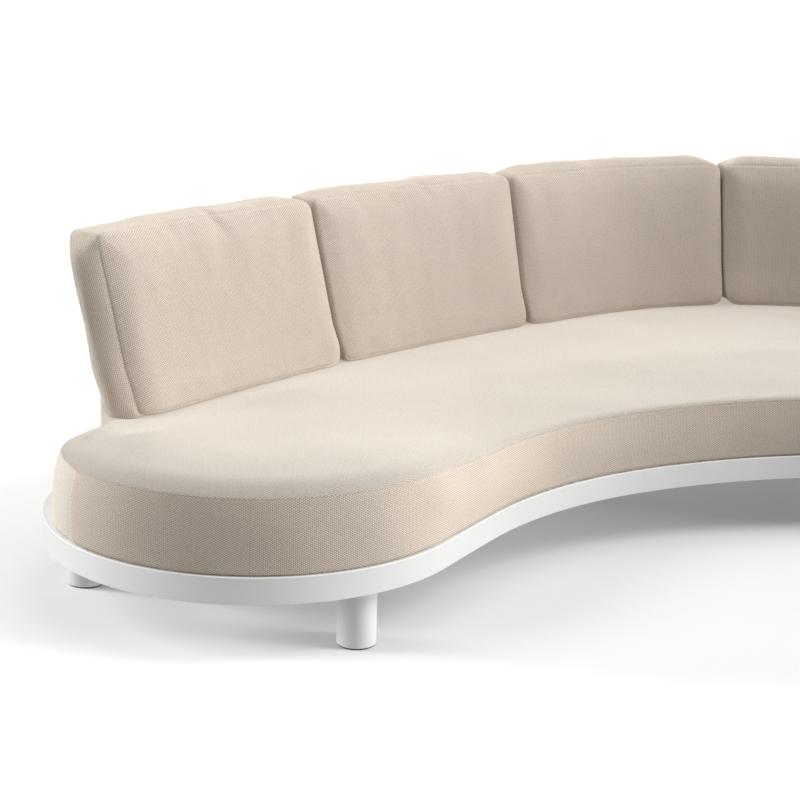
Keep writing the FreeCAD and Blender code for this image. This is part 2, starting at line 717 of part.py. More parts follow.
# ------------------------------------------------------------ check and write
doc.recompute()
bad = [o.Name for o in doc.Objects if any(s in ("Invalid", "Error") for s in o.State)]
if bad:
    raise RuntimeError("failed objects: " + ", ".join(bad))
for o in SUBPARTS:
    if o.Shape.isNull() or not o.Shape.isValid() or not o.Shape.Solids:
        raise RuntimeError("bad shape: " + o.Label)
os.makedirs("parts", exist_ok=True)
for o in SUBPARTS:
    o.Shape.exportStep("parts/%s.step" % o.Label)
    bb = o.Shape.BoundBox
    print("%-34s %2d solids  %9.1f cm3  x %7.1f..%7.1f  y %7.1f..%7.1f  z %6.1f..%6.1f" % (
        o.Label, len(o.Shape.Solids), o.Shape.Volume / 1000.0, bb.XMin, bb.XMax, bb.YMin, bb.YMax, bb.ZMin, bb.ZMax))
print(len(SUBPARTS), "nodes")
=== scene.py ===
import math

import bpy
import numpy as np
from mathutils import Matrix, Vector


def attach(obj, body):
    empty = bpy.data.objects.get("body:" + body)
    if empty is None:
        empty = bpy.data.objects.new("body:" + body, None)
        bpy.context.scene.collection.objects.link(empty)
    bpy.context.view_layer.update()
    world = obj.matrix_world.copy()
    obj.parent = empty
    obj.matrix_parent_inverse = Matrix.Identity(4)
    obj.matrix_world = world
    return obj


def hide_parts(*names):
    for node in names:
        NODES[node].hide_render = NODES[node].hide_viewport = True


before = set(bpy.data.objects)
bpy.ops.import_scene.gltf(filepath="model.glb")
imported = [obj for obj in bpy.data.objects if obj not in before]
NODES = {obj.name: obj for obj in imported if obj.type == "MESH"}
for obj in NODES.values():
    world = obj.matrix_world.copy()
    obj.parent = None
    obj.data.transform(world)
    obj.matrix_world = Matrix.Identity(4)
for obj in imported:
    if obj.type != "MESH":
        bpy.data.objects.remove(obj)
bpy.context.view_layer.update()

SCENE = bpy.context.scene

# ------------------------------------------------------------------ plan lines
# The left half of the platform's outline, in metres: concave front, rounded
# end, long rear.  The cushions are made along insets of the same arcs.
SHIFT = 0.2187
T_FM, T_FS, T_RM = math.radians(22.6), math.radians(53.5), math.radians(30.7)
R_FM, R_FS, R_L, R_RM = 1.5, 1.07, 0.505, 1.137
STRAIGHT = 0.23
BF = 0.255            # inset of the back cushions' foot line from the rear rim
SEAT_Z = 0.398        # top of the seat, where the back cushions stand
PRESS = 0.003         # how far their weight presses it down
DECK_Z = 0.208


def m2(t):
    return np.stack([-np.sin(t), np.cos(t)], -1)


C_FM = np.array([0.0, -R_FM - SHIFT])
C_FS = C_FM + m2(T_FM) * (R_FM - R_FS)
P_S0 = C_FS + m2(T_FS) * R_FS
P_S1 = P_S0 + np.array([-math.cos(T_FS), -math.sin(T_FS)]) * STRAIGHT
C_L = P_S1 + m2(T_FS) * R_L
C_RM = np.array([0.0, 1.2935 - R_RM - SHIFT])
_q = C_RM + m2(T_RM) * (R_RM - R_L)
_w = _q - C_L
_k = _w @ _w / (2 * _w @ m2(T_RM))
R_RS = R_L + _k
C_RS = _q - m2(T_RM) * _k
_o = (C_L - C_RS) / _k
T_RS = math.atan2(-_o[0], _o[1])
L1 = (R_RM - BF) * T_RM
L2 = L1 + (R_RS - BF) * (T_RS - T_RM)
HEAD = np.array([-math.cos(T_RS), -math.sin(T_RS)])


def rear_xy(run, inset):
    """Plan point at a signed length along the back cushions' foot line (negative
    on the left) and an inset from the rear rim, with the outward normal."""
    run, inset = np.broadcast_arrays(np.asarray(run, float), np.asarray(inset, float))
    side = np.where(run < 0, 1.0, -1.0)
    a = np.abs(run)
    t = np.where(a <= L1, a / (R_RM - BF), T_RM + (a - L1) / (R_RS - BF))
    t = np.minimum(t, T_RS)
    past = np.maximum(a - L2, 0.0)[..., None]
    n = m2(t)
    c = np.where((a <= L1)[..., None], C_RM, C_RS)
    r = np.where(a <= L1, R_RM, R_RS) - inset
    p = c + n * r[..., None] + HEAD * past
    p = p * np.stack([side, np.ones_like(side)], -1)
    n = n * np.stack([side, np.ones_like(side)], -1)
    return p, n


# ------------------------------------------------------------------ small tools
def smooth(x, a, b):
    x = np.clip((np.asarray(x, float) - a) / (b - a), 0, 1)
    return x * x * (3 - 2 * x)


def bump(x, centre, width):
    return np.exp(-((np.asarray(x, float) - centre) / width) ** 2)


class Waves:
    """Smooth noise as a seeded sum of plane waves, the same on every run."""

    def __init__(self, seed, low, high, count=14, dims=2):
        r = np.random.RandomState(seed)
        d = r.normal(size=(count, dims))
        d /= np.linalg.norm(d, axis=1)[:, None]
        self.k = d * (2 * np.pi / r.uniform(low, high, count))[:, None]
        self.p = r.uniform(0, 2 * np.pi, count)
        self.a = r.uniform(0.5, 1.0, count)
        self.a /= np.sqrt((self.a ** 2).sum() / 2)

    def __call__(self, *xs):
        x = np.stack(np.broadcast_arrays(*xs), -1)
        return np.sin(x @ self.k.T + self.p) @ self.a / 1.0


def catmull(a, pos, axis=0, periodic=False):
    """Smooth resampling of an array along one axis at fractional indices."""
    a = np.moveaxis(np.asarray(a, float), axis, 0)
    n = a.shape[0]
    pos = np.asarray(pos, float)
    i = np.floor(pos).astype(int)
    if not periodic:
        i = np.clip(i, 0, n - 2)
    f = pos - i
    f = f.reshape((-1,) + (1,) * (a.ndim - 1))

    def take(j):
        if periodic:
            return a[j % n]
        out = a[np.clip(j, 0, n - 1)]
        lo = (j < 0)
        hi = (j > n - 1)
        if lo.any():
            out = out.copy()
            out[lo] = 2 * a[0] - a[1]
        if hi.any():
            out = out.copy()
            out[hi] = 2 * a[n - 1] - a[n - 2]
        return out

    p0, p1, p2, p3 = take(i - 1), take(i), take(i + 1), take(i + 2)
    out = 0.5 * ((2 * p1) + (-p0 + p2) * f + (2 * p0 - 5 * p1 + 4 * p2 - p3) * f ** 2
                 + (-p0 + 3 * p1 - 3 * p2 + p3) * f ** 3)
    return np.moveaxis(out, 0, axis)


def loop_of(nu, nv):
    """Grid indices round the edge of an nu x nv grid, in order."""
    i = [(k, 0) for k in range(nu - 1)] + [(nu - 1, k) for k in range(nv - 1)]
    i += [(nu - 1 - k, nv - 1) for k in range(nu - 1)] + [(0, nv - 1 - k) for k in range(nv - 1)]
    return np.array(i)


def coons(bottom, right, top, left):
    """Surface through four edge curves.  bottom/top run with u, left/right with v."""
    nu, nv = len(bottom), len(left)
    u = np.linspace(0, 1, nu)[:, None, None]
    v = np.linspace(0, 1, nv)[None, :, None]
    b, t = bottom[:, None, :], top[:, None, :]
    l, r = left[None, :, :], right[None, :, :]
    c = ((1 - u) * (1 - v) * bottom[0] + u * (1 - v) * bottom[-1]
         + (1 - u) * v * top[0] + u * v * top[-1])
    return (1 - v) * b + v * t + (1 - u) * l + u * r - c


def unit(a):
    return a / np.maximum(np.linalg.norm(a, axis=-1, keepdims=True), 1e-12)


def grid_normals(g, periodic=False):
    if periodic:
        du = np.roll(g, -1, 0) - np.roll(g, 1, 0)
    else:
        du = np.gradient(g, axis=0)
    dv = np.gradient(g, axis=1)
    return unit(np.cross(du, dv))


class Boxed:
    """A closed boxed cushion: two panel grids whose edges are shared with the
    first and last rows of a boxing strip that runs round them."""

    def __init__(self, front, strip, back):
        self.front, self.strip, self.back = front, strip, back
        self.nu, self.nv = front.shape[:2]
        self.nt = strip.shape[1]
        self.loop = loop_of(self.nu, self.nv)
        self.weld()

    def weld(self):
        i, j = self.loop[:, 0], self.loop[:, 1]
        self.front[i, j] = self.strip[:, 0]
        self.back[i, j] = self.strip[:, -1]

    def topology(self):
        nu, nv, nt = self.nu, self.nv, self.nt
        front = np.arange(nu * nv).reshape(nu, nv)
        back = nu * nv + np.arange(nu * nv).reshape(nu, nv)
        p = len(self.loop)
        strip = np.full((p, nt), -1)
        strip[:, 0] = front[self.loop[:, 0], self.loop[:, 1]]
        strip[:, -1] = back[self.loop[:, 0], self.loop[:, 1]]
        strip[:, 1:-1] = 2 * nu * nv + np.arange(p * (nt - 2)).reshape(p, nt - 2)
        return front, strip, back

    def flat(self):
        p = len(self.loop)
        return np.concatenate([self.front.reshape(-1, 3), self.back.reshape(-1, 3),
                               self.strip[:, 1:-1].reshape(p * (self.nt - 2), 3)])

    def unflat(self, co):
        nu, nv, nt = self.nu, self.nv, self.nt
        p = len(self.loop)
        self.front = co[:nu * nv].reshape(nu, nv, 3).copy()
        self.back = co[nu * nv:2 * nu * nv].reshape(nu, nv, 3).copy()
        s = np.zeros((p, nt, 3))
        s[:, 1:-1] = co[2 * nu * nv:].reshape(p, nt - 2, 3)
        s[:, 0] = self.front[self.loop[:, 0], self.loop[:, 1]]
        s[:, -1] = self.back[self.loop[:, 0], self.loop[:, 1]]
        self.strip = s

    def faces(self):
        f, s, b = self.topology()
        q = lambda g: np.stack([g[:-1, :-1], g[1:, :-1], g[1:, 1:], g[:-1, 1:]], -1).reshape(-1, 4)
        sr = np.concatenate([s, s[:1]], 0)
        return q(f), q(sr)[:, ::-1], q(b)[:, ::-1]

    def resampled(self, pu, pv, pt):
        """The same shape on other grid lines, given as fractional indices."""
        nu, nv = self.nu, self.nv
        fu, fv = len(pu), len(pv)
        i = loop_of(fu, fv)
        pos = np.concatenate([pu[:-1], (nu - 1) + pv[:-1], (nu - 1) + (nv - 1) + (nu - 1 - pu[::-1][:-1]),
                              2 * (nu - 1) + (nv - 1) + (nv - 1 - pv[::-1][:-1])])
        front = catmull(catmull(self.front, pu, 0), pv, 1)
        back = catmull(catmull(self.back, pu, 0), pv, 1)
        strip = catmull(catmull(self.strip, pos, 0, True), pt, 1)
        assert len(i) == len(pos)
        return Boxed(front, strip, back)


def mesh_object(name, co, quads, material, uv=None, smooth_shade=True):
    me = bpy.data.meshes.new(name)
    me.vertices.add(len(co))
    me.vertices.foreach_set("co", np.asarray(co, np.float32).ravel())
    quads = np.asarray(quads)
    n = quads.shape[1]
    me.loops.add(quads.size)
    me.loops.foreach_set("vertex_index", quads.astype(np.int32).ravel())
    me.polygons.add(len(quads))
    me.polygons.foreach_set("loop_start", (np.arange(len(quads)) * n).astype(np.int32))
    me.polygons.foreach_set("loop_total", np.full(len(quads), n, np.int32))
    me.update(calc_edges=True)
    if smooth_shade:
        me.polygons.foreach_set("use_smooth", np.ones(len(quads), bool))
    if uv is not None:
        layer = me.uv_layers.new(name="cloth")
        layer.data.foreach_set("uv", np.asarray(uv, np.float32).ravel())
    me.validate()
    if material is not None:
        me.materials.append(material)
    ob = bpy.data.objects.new(name, me)
    SCENE.collection.objects.link(ob)
    return ob


# ------------------------------------------------------------------- materials
def new_material(name):
    mat = bpy.data.materials.new(name)
    mat.use_nodes = True
    nt = mat.node_tree
    nt.nodes.clear()
    out = nt.nodes.new("ShaderNodeOutputMaterial")
    bsdf = nt.nodes.new("ShaderNodeBsdfPrincipled")
    nt.links.new(bsdf.outputs[0], out.inputs[0])
    return mat, nt, bsdf


def mathn(nt, op, a, b=None, clamp=False):
    n = nt.nodes.new("ShaderNodeMath")
    n.operation = op
    n.use_clamp = clamp
    for k, x in enumerate((a, b)):
        if x is None:
            continue
        if hasattr(x, "default_value") or hasattr(x, "links"):
            nt.links.new(x, n.inputs[k])
        else:
            n.inputs[k].default_value = x
    return n.outputs[0]


def ramp(nt, fac, stops):
    n = nt.nodes.new("ShaderNodeValToRGB")
    e = n.color_ramp.elements
    while len(e) > 1:
        e.remove(e[-1])
    e[0].position, e[0].color = stops[0][0], (*stops[0][1], 1)
    for p, c in stops[1:]:
        x = e.new(p)
        x.color = (*c, 1)
    nt.links.new(fac, n.inputs[0])
    return n.outputs[0]


def fabric_material(name, light, mid, dark, pitch=(0.0045, 0.0025), sheen=0.15, rough=0.95, grain=1.0, weave=0.60, relief=0.45):
    """Coarse plain weave of a pale and a tan yarn, in metres on the cloth map."""
    mat, nt, bsdf = new_material(name)
    uv = nt.nodes.new("ShaderNodeUVMap")
    uv.uv_map = "cloth"
    sep = nt.nodes.new("ShaderNodeSeparateXYZ")
    # the threads wander a little
    warp = nt.nodes.new("ShaderNodeTexNoise")
    warp.inputs["Scale"].default_value = 60.0
    warp.inputs["Detail"].default_value = 1.0
    nt.links.new(uv.outputs[0], warp.inputs["Vector"])
    off = nt.nodes.new("ShaderNodeVectorMath")
    off.operation = "SUBTRACT"
    nt.links.new(warp.outputs["Color"], off.inputs[0])
    off.inputs[1].default_value = (0.5, 0.5, 0.5)
    scl = nt.nodes.new("ShaderNodeVectorMath")
    scl.operation = "SCALE"
    nt.links.new(off.outputs[0], scl.inputs[0])
    scl.inputs["Scale"].default_value = 0.0022
    add = nt.nodes.new("ShaderNodeVectorMath")
    add.operation = "ADD"
    nt.links.new(uv.outputs[0], add.inputs[0])
    nt.links.new(scl.outputs[0], add.inputs[1])
    nt.links.new(add.outputs[0], sep.inputs[0])
    su = mathn(nt, "SINE", mathn(nt, "MULTIPLY", sep.outputs[0], math.pi / pitch[0]))
    sv = mathn(nt, "SINE", mathn(nt, "MULTIPLY", sep.outputs[1], math.pi / pitch[1]))
    chk = mathn(nt, "MULTIPLY", su, sv)
    # yarn to yarn variation: long streaks both ways and single cells
    vary = []
    for scale, amount in (((260.0, 9.0, 1.0), 0.05), ((9.0, 300.0, 1.0), 0.05), ((170.0, 190.0, 1.0), 0.28 * grain)):
        mp = nt.nodes.new("ShaderNodeMapping")
        mp.inputs["Scale"].default_value = scale
        nt.links.new(uv.outputs[0], mp.inputs[0])
        no = nt.nodes.new("ShaderNodeTexNoise")
        no.inputs["Scale"].default_value = 1.0
        no.inputs["Detail"].default_value = 1.0
        nt.links.new(mp.outputs[0], no.inputs["Vector"])
        vary.append(mathn(nt, "MULTIPLY", mathn(nt, "SUBTRACT", no.outputs["Fac"], 0.5), amount * 2.0))
    # broad unevenness of the cloth
    obj = nt.nodes.new("ShaderNodeTexCoord")
    big = nt.nodes.new("ShaderNodeTexNoise")
    big.inputs["Scale"].default_value = 3.5
    big.inputs["Detail"].default_value = 2.0
    nt.links.new(obj.outputs["Object"], big.inputs["Vector"])
    vary.append(mathn(nt, "MULTIPLY", mathn(nt, "SUBTRACT", big.outputs["Fac"], 0.5), 0.12))
    total = mathn(nt, "ADD", mathn(nt, "MULTIPLY", chk, weave), 0.5)
    for x in vary:
        total = mathn(nt, "ADD", total, x)
    col = ramp(nt, total, [(0.0, dark), (0.5, mid), (1.0, light)])
    nt.links.new(col, bsdf.inputs["Base Color"])
    # rounded threads with sunk crossings
    high = mathn(nt, "ADD", mathn(nt, "ABSOLUTE", su), mathn(nt, "ABSOLUTE", sv))
    bmp = nt.nodes.new("ShaderNodeBump")
    bmp.inputs["Strength"].default_value = relief
    bmp.inputs["Distance"].default_value = 0.0009
    nt.links.new(high, bmp.inputs["Height"])
    fuzz = nt.nodes.new("ShaderNodeTexNoise")
    fuzz.inputs["Scale"].default_value = 55.0
    fuzz.inputs["Detail"].default_value = 3.0
    nt.links.new(obj.outputs["Object"], fuzz.inputs["Vector"])
    bmp2 = nt.nodes.new("ShaderNodeBump")
    bmp2.inputs["Strength"].default_value = 0.10
    bmp2.inputs["Distance"].default_value = 0.0015
    nt.links.new(fuzz.outputs["Fac"], bmp2.inputs["Height"])
    nt.links.new(bmp.outputs[0], bmp2.inputs["Normal"])
    nt.links.new(bmp2.outputs[0], bsdf.inputs["Normal"])
    bsdf.inputs["Roughness"].default_value = rough
    bsdf.inputs["Specular IOR Level"].default_value = 0.25
    bsdf.inputs["Sheen Weight"].default_value = sheen
    bsdf.inputs["Sheen Roughness"].default_value = 0.5
    bsdf.inputs["Sheen Tint"].default_value = (1.0, 0.96, 0.90, 1.0)
    return mat


def thread_material(name, base):
    mat, nt, bsdf = new_material(name)
    obj = nt.nodes.new("ShaderNodeTexCoord")
    no = nt.nodes.new("ShaderNodeTexNoise")
    no.inputs["Scale"].default_value = 900.0
    no.inputs["Detail"].default_value = 2.0
    nt.links.new(obj.outputs["Object"], no.inputs["Vector"])
    lo = tuple(x * 0.8 for x in base)
    hi = tuple(min(1.0, x * 1.15) for x in base)
    nt.links.new(ramp(nt, no.outputs["Fac"], [(0.3, lo), (0.7, hi)]), bsdf.inputs["Base Color"])
    bsdf.inputs["Roughness"].default_value = 0.8
    return mat


def coat_material(name, base, rough=0.42, peel=0.06):
    """Powder coat: fine orange peel, a trace of unevenness in tone and gloss."""
    mat, nt, bsdf = new_material(name)
    obj = nt.nodes.new("ShaderNodeTexCoord")
    big = nt.nodes.new("ShaderNodeTexNoise")
    big.inputs["Scale"].default_value = 6.0
    big.inputs["Detail"].default_value = 3.0
    nt.links.new(obj.outputs["Object"], big.inputs["Vector"])
    lo = tuple(x * 0.965 for x in base)
    nt.links.new(ramp(nt, big.outputs["Fac"], [(0.3, lo), (0.7, base)]), bsdf.inputs["Base Color"])
    fine = nt.nodes.new("ShaderNodeTexNoise")
    fine.inputs["Scale"].default_value = 420.0
    fine.inputs["Detail"].default_value = 2.0
    nt.links.new(obj.outputs["Object"], fine.inputs["Vector"])
    bmp = nt.nodes.new("ShaderNodeBump")
    bmp.inputs["Strength"].default_value = peel
    bmp.inputs["Distance"].default_value = 0.0005
    nt.links.new(fine.outputs["Fac"], bmp.inputs["Height"])
    nt.links.new(bmp.outputs[0], bsdf.inputs["Normal"])
    r = nt.nodes.new("ShaderNodeMapRange")
    nt.links.new(big.outputs["Fac"], r.inputs["Value"])
    r.inputs["To Min"].default_value = rough - 0.05
    r.inputs["To Max"].default_value = rough + 0.05
    nt.links.new(r.outputs[0], bsdf.inputs["Roughness"])
    return mat


def metal_material(name, base, rough=0.34):
    mat, nt, bsdf = new_material(name)
    obj = nt.nodes.new("ShaderNodeTexCoord")
    mp = nt.nodes.new("ShaderNodeMapping")
    mp.inputs["Scale"].default_value = (900.0, 900.0, 60.0)
    nt.links.new(obj.outputs["Object"], mp.inputs[0])
    no = nt.nodes.new("ShaderNodeTexNoise")
    no.inputs["Scale"].default_value = 1.0
    no.inputs["Detail"].default_value = 3.0
    nt.links.new(mp.outputs[0], no.inputs["Vector"])
    nt.links.new(ramp(nt, no.outputs["Fac"], [(0.3, tuple(x * 0.82 for x in base)), (0.7, base)]),
                 bsdf.inputs["Base Color"])
    r = nt.nodes.new("ShaderNodeMapRange")
    nt.links.new(no.outputs["Fac"], r.inputs["Value"])
    r.inputs["To Min"].default_value = rough - 0.08
    r.inputs["To Max"].default_value = rough + 0.10
    nt.links.new(r.outputs[0], bsdf.inputs["Roughness"])
    bsdf.inputs["Metallic"].default_value = 1.0
    return mat


def plastic_material(name, base, rough=0.55):
    mat, nt, bsdf = new_material(name)
    obj = nt.nodes.new("ShaderNodeTexCoord")
    no = nt.nodes.new("ShaderNodeTexNoise")
    no.inputs["Scale"].default_value = 700.0
    no.inputs["Detail"].default_value = 2.0
    nt.links.new(obj.outputs["Object"], no.inputs["Vector"])
    nt.links.new(ramp(nt, no.outputs["Fac"], [(0.3, tuple(x * 0.8 for x in base)), (0.7, base)]),
                 bsdf.inputs["Base Color"])
    bmp = nt.nodes.new("ShaderNodeBump")
    bmp.inputs["Strength"].default_value = 0.2
    bmp.inputs["Distance"].default_value = 0.0003
    nt.links.new(no.outputs["Fac"], bmp.inputs["Height"])
    nt.links.new(bmp.outputs[0], bsdf.inputs["Normal"])
    bsdf.inputs["Roughness"].default_value = rough
    return mat


def times(colours, f):
    return [tuple(min(0.92, x * y) for x, y in zip(c, f)) for c in colours]


BACK_YARNS = ((0.74, 0.69, 0.61), (0.60, 0.525, 0.44), (0.40, 0.315, 0.23))
SEAT_YARNS = ((0.76, 0.72, 0.65), (0.63, 0.565, 0.485), (0.42, 0.335, 0.25))
M_BACK = fabric_material("back_cloth", *times(BACK_YARNS, (0.93, 0.92, 0.93)), weave=0.72)
# one seat fabric in three copies, toned to how light falls on each face: the top and the boxing in light-matched tones,
# with a flatter weave on the top and a deeper one on the boxing as painted sheen, and the end panel painted lighter, as
# painted light from the left
M_SEAT = fabric_material("seat_cloth", *times(SEAT_YARNS, (0.845, 0.850, 0.865)), weave=0.55, relief=0.15)
M_SEAT_SIDE = fabric_material("seat_cloth_boxing", *times(SEAT_YARNS, (1.03, 0.995, 0.975)), weave=0.85)
M_SEAT_END_PAINTED_LIGHT = fabric_material("seat_cloth_end_painted_light", *times(SEAT_YARNS, (1.27, 1.30, 1.32)))
M_THREAD = thread_material("stitch_thread", (0.42, 0.34, 0.26))
M_COAT = coat_material("white_powder_coat", (0.89, 0.89, 0.885))
M_STEEL = metal_material("fastener_steel", (0.62, 0.62, 0.63))
M_PLUG = plastic_material("plug_plastic", (0.03, 0.03, 0.032))
M_FOOT = plastic_material("foot_plastic", (0.09, 0.09, 0.092))

for n, ob in NODES.items():
    if n in ("leg_bolts", "panel_bolts", "panel_nuts"):
        mat = M_STEEL
    elif n.startswith("leg_plug"):
        mat = M_PLUG
    elif n.startswith("levelling_foot"):
        mat = M_FOOT
    else:
        mat = M_COAT
    ob.data.materials.clear()
    ob.data.materials.append(mat)


# ------------------------------------------------------------- back cushions
HEIGHT = 0.449
T_FOOT, T_HEAD = 0.130, 0.118
LEAN = 0.098


def lines(length, step, extra=(0.0016, 0.0034, 0.0055, 0.0085, 0.0125)):
    """Positions from 0 to length, closer together at both ends."""
    a = np.array([0.0, *extra])
    n = max(2, int(round((length - 2 * extra[-1]) / step)))
    mid = np.linspace(extra[-1], length - extra[-1], n + 1)[1:-1]
    return np.concatenate([a, mid, length - a[::-1]])


def round_rect(w, h, radii, nu, nv):
    """Four edge curves of a rounded rectangle, meeting in the middle of its
    corners.  radii: bottom left, bottom right, top right, top left."""
    bl, br, tr, tl = radii

    def piece(p, centre_a, ra, a0, centre_b, rb, b1, count):
        # half corner arc, straight, half corner arc
        aa = np.linspace(a0, a0 + math.pi / 4, 40)
        pa = centre_a + ra * np.stack([np.cos(aa), np.sin(aa)], -1)
        bb = np.linspace(b1 - math.pi / 4, b1, 40)
        pb = centre_b + rb * np.stack([np.cos(bb), np.sin(bb)], -1)
        pts = np.concatenate([pa, pb])
        s = np.concatenate([[0], np.cumsum(np.linalg.norm(np.diff(pts, axis=0), axis=1))])
        keep = np.concatenate([[True], np.diff(s) > 1e-9])
        pts, s = pts[keep], s[keep]
        x = np.linspace(0, s[-1], count)
        return np.stack([np.interp(x, s, pts[:, 0]), np.interp(x, s, pts[:, 1])], -1)

    q = math.pi / 2
    cbl, cbr = np.array([bl, bl]), np.array([w - br, br])
    ctr, ctl = np.array([w - tr, h - tr]), np.array([tl, h - tl])
    bottom = piece(None, cbl, bl, -q - q / 2, cbr, br, -q + q / 2, nu)
    right = piece(None, cbr, br, -q / 2, ctr, tr, q / 2, nv)
    top = piece(None, ctr, tr, q / 2, ctl, tl, q + q / 2, nu)[::-1]
    left = piece(None, ctl, tl, math.pi - q / 2, cbl, bl, math.pi + q / 2, nv)[::-1]
    return bottom, right, top, left


def inflate(shape, pressure=4.0, frames=20, cap=0.024, stiff=25.0, bend=0.6, grow=0.012, share=None):
    """Blows the cushion up with a short cloth run and limits how far it moved."""
    start = shape.flat()
    quads = np.concatenate(shape.faces())
    ob = mesh_object("cloth_run", start, quads, None)
    mod = ob.modifiers.new("Cloth", "CLOTH")
    st = mod.settings
    st.quality = 6
    st.mass = 0.3
    st.tension_stiffness = st.compression_stiffness = stiff
    st.shear_stiffness = stiff * 0.4
    st.bending_stiffness = bend
    st.tension_damping = st.compression_damping = 8.0
    st.air_damping = 2.0
    st.use_pressure = True
    st.uniform_pressure_force = pressure
    st.effector_weights.gravity = 0.0
    st.shrink_min = -grow
    mod.collision_settings.use_collision = False
    mod.point_cache.frame_start = 1
    mod.point_cache.frame_end = frames
    for f in range(1, frames + 1):
        SCENE.frame_set(f)
    dg = bpy.context.evaluated_depsgraph_get()
    ev = ob.evaluated_get(dg)
    me = ev.to_mesh()
    co = np.zeros(len(me.vertices) * 3, np.float32)
    me.vertices.foreach_get("co", co)
    co = co.reshape(-1, 3).astype(float)
    ev.to_mesh_clear()
    data = ob.data
    bpy.data.objects.remove(ob)
    bpy.data.meshes.remove(data)
    SCENE.frame_set(1)
    d = co - start
    n = np.linalg.norm(d, axis=1, keepdims=True)
    d *= np.minimum(1.0, cap * np.tanh(n / cap) / np.maximum(n, 1e-9))
    if share is not None:
        d *= share[:, None]
    out = Boxed(shape.front.copy(), shape.strip.copy(), shape.back.copy())
    out.unflat(start + d)
    return out


def rounded_distance(p, w, h, radii):
    """Distance inwards from a rounded rectangle's edge."""
    bl, br, tr, tl = radii
    x, y = p[..., 0] - w / 2, p[..., 1] - h / 2
    r = np.where(x > 0, np.where(y > 0, tr, br), np.where(y > 0, tl, bl))
    qx, qy = np.abs(x) - w / 2 + r, np.abs(y) - h / 2 + r
    return -(np.minimum(np.maximum(qx, qy), 0) + np.hypot(np.maximum(qx, 0), np.maximum(qy, 0)) - r)


SEAM_SIDE, SEAM_LOW, SEAM_TOP = 0.003, 0.008, 0.014
CORNERS = {1: (0.010, 0.044, 0.028, 0.030), 2: (0.020, 0.040, 0.028, 0.018), 3: (0.020, 0.036, 0.022, 0.018)}


def panel_inside(p, width, make):
    """Distance inwards from the front panel's seam."""
    q = p - np.array([SEAM_SIDE, SEAM_LOW])
    return rounded_distance(q, width - 2 * SEAM_SIDE, HEIGHT - SEAM_LOW - SEAM_TOP, CORNERS[make])


# how far the boxing swells: over the top, and at the row's free end
TOP_SWELL = {1: 0.0190, 2: 0.0220, 3: 0.0305}
END_SWELL = 0.050


def back_rest(width, make):
    """Start shape of the filling: x along the cushion, y to the rear, z up."""
    step = 0.0105
    nu = int(round(width / step)) + 1
    nv = int(round(HEIGHT / step)) + 1
    ntk = 13
    w, h = width - 2 * SEAM_SIDE, HEIGHT - SEAM_LOW - SEAM_TOP
    edges = round_rect(w, h, CORNERS[make], nu, nv)
    p = coons(*edges) + np.array([SEAM_SIDE, SEAM_LOW])
    d = np.maximum(panel_inside(p, width, make), 0)
    thick = T_FOOT + (T_HEAD - T_FOOT) * p[..., 1] / HEIGHT
    crown = 0.35 * (1 - (1 - np.clip(d / 0.035, 0, 1)) ** 2.0) + 0.65 * (1 - (1 - np.clip(d / 0.170, 0, 1)) ** 2.4)
    # the front seam is set back at the top and the sides, hardly at the foot
    side = np.minimum(p[..., 0], width - p[..., 0])
    set_back = 0.0030 + 0.0115 * np.maximum(smooth(p[..., 1], 0.0, 0.12), 0.8 * np.exp(-(side / 0.04) ** 2))
    y = set_back * (1 - crown) - 0.003 * crown
    if make == 1:
        # the free end's front edge is rounded off over a wide strip
        y = y + (0.017 - 0.008 * p[..., 1] / HEIGHT) * (1 - np.clip(p[..., 0] / 0.080, 0, 1)) ** 2
    front = np.stack([p[..., 0], y, p[..., 1]], -1)
    rim = 0.012 - (0.008 * smooth(p[..., 0], 0.15, 0.0) if make == 1 else 0.0)
    back = np.stack([p[..., 0], thick - rim + (rim - 0.003) * crown, p[..., 1]], -1)
    i = loop_of(nu, nv)
    a, b = front[i[:, 0], i[:, 1]], back[i[:, 0], i[:, 1]]
    k = np.linspace(0, 1, ntk)[None, :, None]
    strip = a[:, None] * (1 - k) + b[:, None] * k
    # the boxing is crowned too, least at the corners
    t = np.roll(a, -1, 0) - np.roll(a, 1, 0)
    out = unit(np.stack([t[:, 2], 0 * t[:, 0], -t[:, 0]], -1))
    if (out * (a - a.mean(0))).sum() < 0:
        out = -out
    cx = np.minimum(a[:, 0] - SEAM_SIDE, width - SEAM_SIDE - a[:, 0])
    cz = np.minimum(a[:, 2] - SEAM_LOW, HEIGHT - SEAM_TOP - a[:, 2])
    far = np.maximum(cx, cz)
    size = np.where(out[:, 2] > 0.7, TOP_SWELL[make], np.where(out[:, 2] < -0.7, 0.011, 0.008))
    free = make == 1
    taper = np.where(a[:, 0] < width / 2, 0.110, 0.050) if free else 0.044
    size = size * (1 - np.where(out[:, 2] < -0.5, 0.2, 0.8) * np.exp(-(far / taper) ** 2))
    if free:
        # the free end swells straight outwards, down to the seat, less at the top
        at_end = smooth(a[:, 0], 0.05, 0.0) * smooth(a[:, 2], -0.12, 0.02) * smooth(a[:, 2], HEIGHT + 0.01, HEIGHT - 0.085)
        turn = smooth(-out[:, 0], 0.2, 0.6)
        size = size + (END_SWELL - size) * at_end * turn
        flatten = turn * (out[:, 2] > 0)
        out[:, 2] *= 1 - 0.9 * flatten
        size = np.where((a[:, 2] > 0.30) & (a[:, 0] < 0.05), size + (0.016 - size) * smooth(a[:, 2], HEIGHT - 0.055, HEIGHT - 0.012) * turn, size)
    level = smooth(-out[:, 2], 0.2, 0.8)[:, None, None]
    arch = (1 - np.abs(2 * k - 1) ** 2.2) * (1 - level) + (1 - np.abs(2 * k - 1) ** 6.0) * level
    if free:
        e = smooth(-out[:, 0], 0.3, 0.8)[:, None, None]
        arch = arch * (1 - e) + (1 - (2 * k ** 1.08 - 1) ** 2) * e
    return Boxed(front, strip + out[:, None] * size[:, None, None] * arch, back)


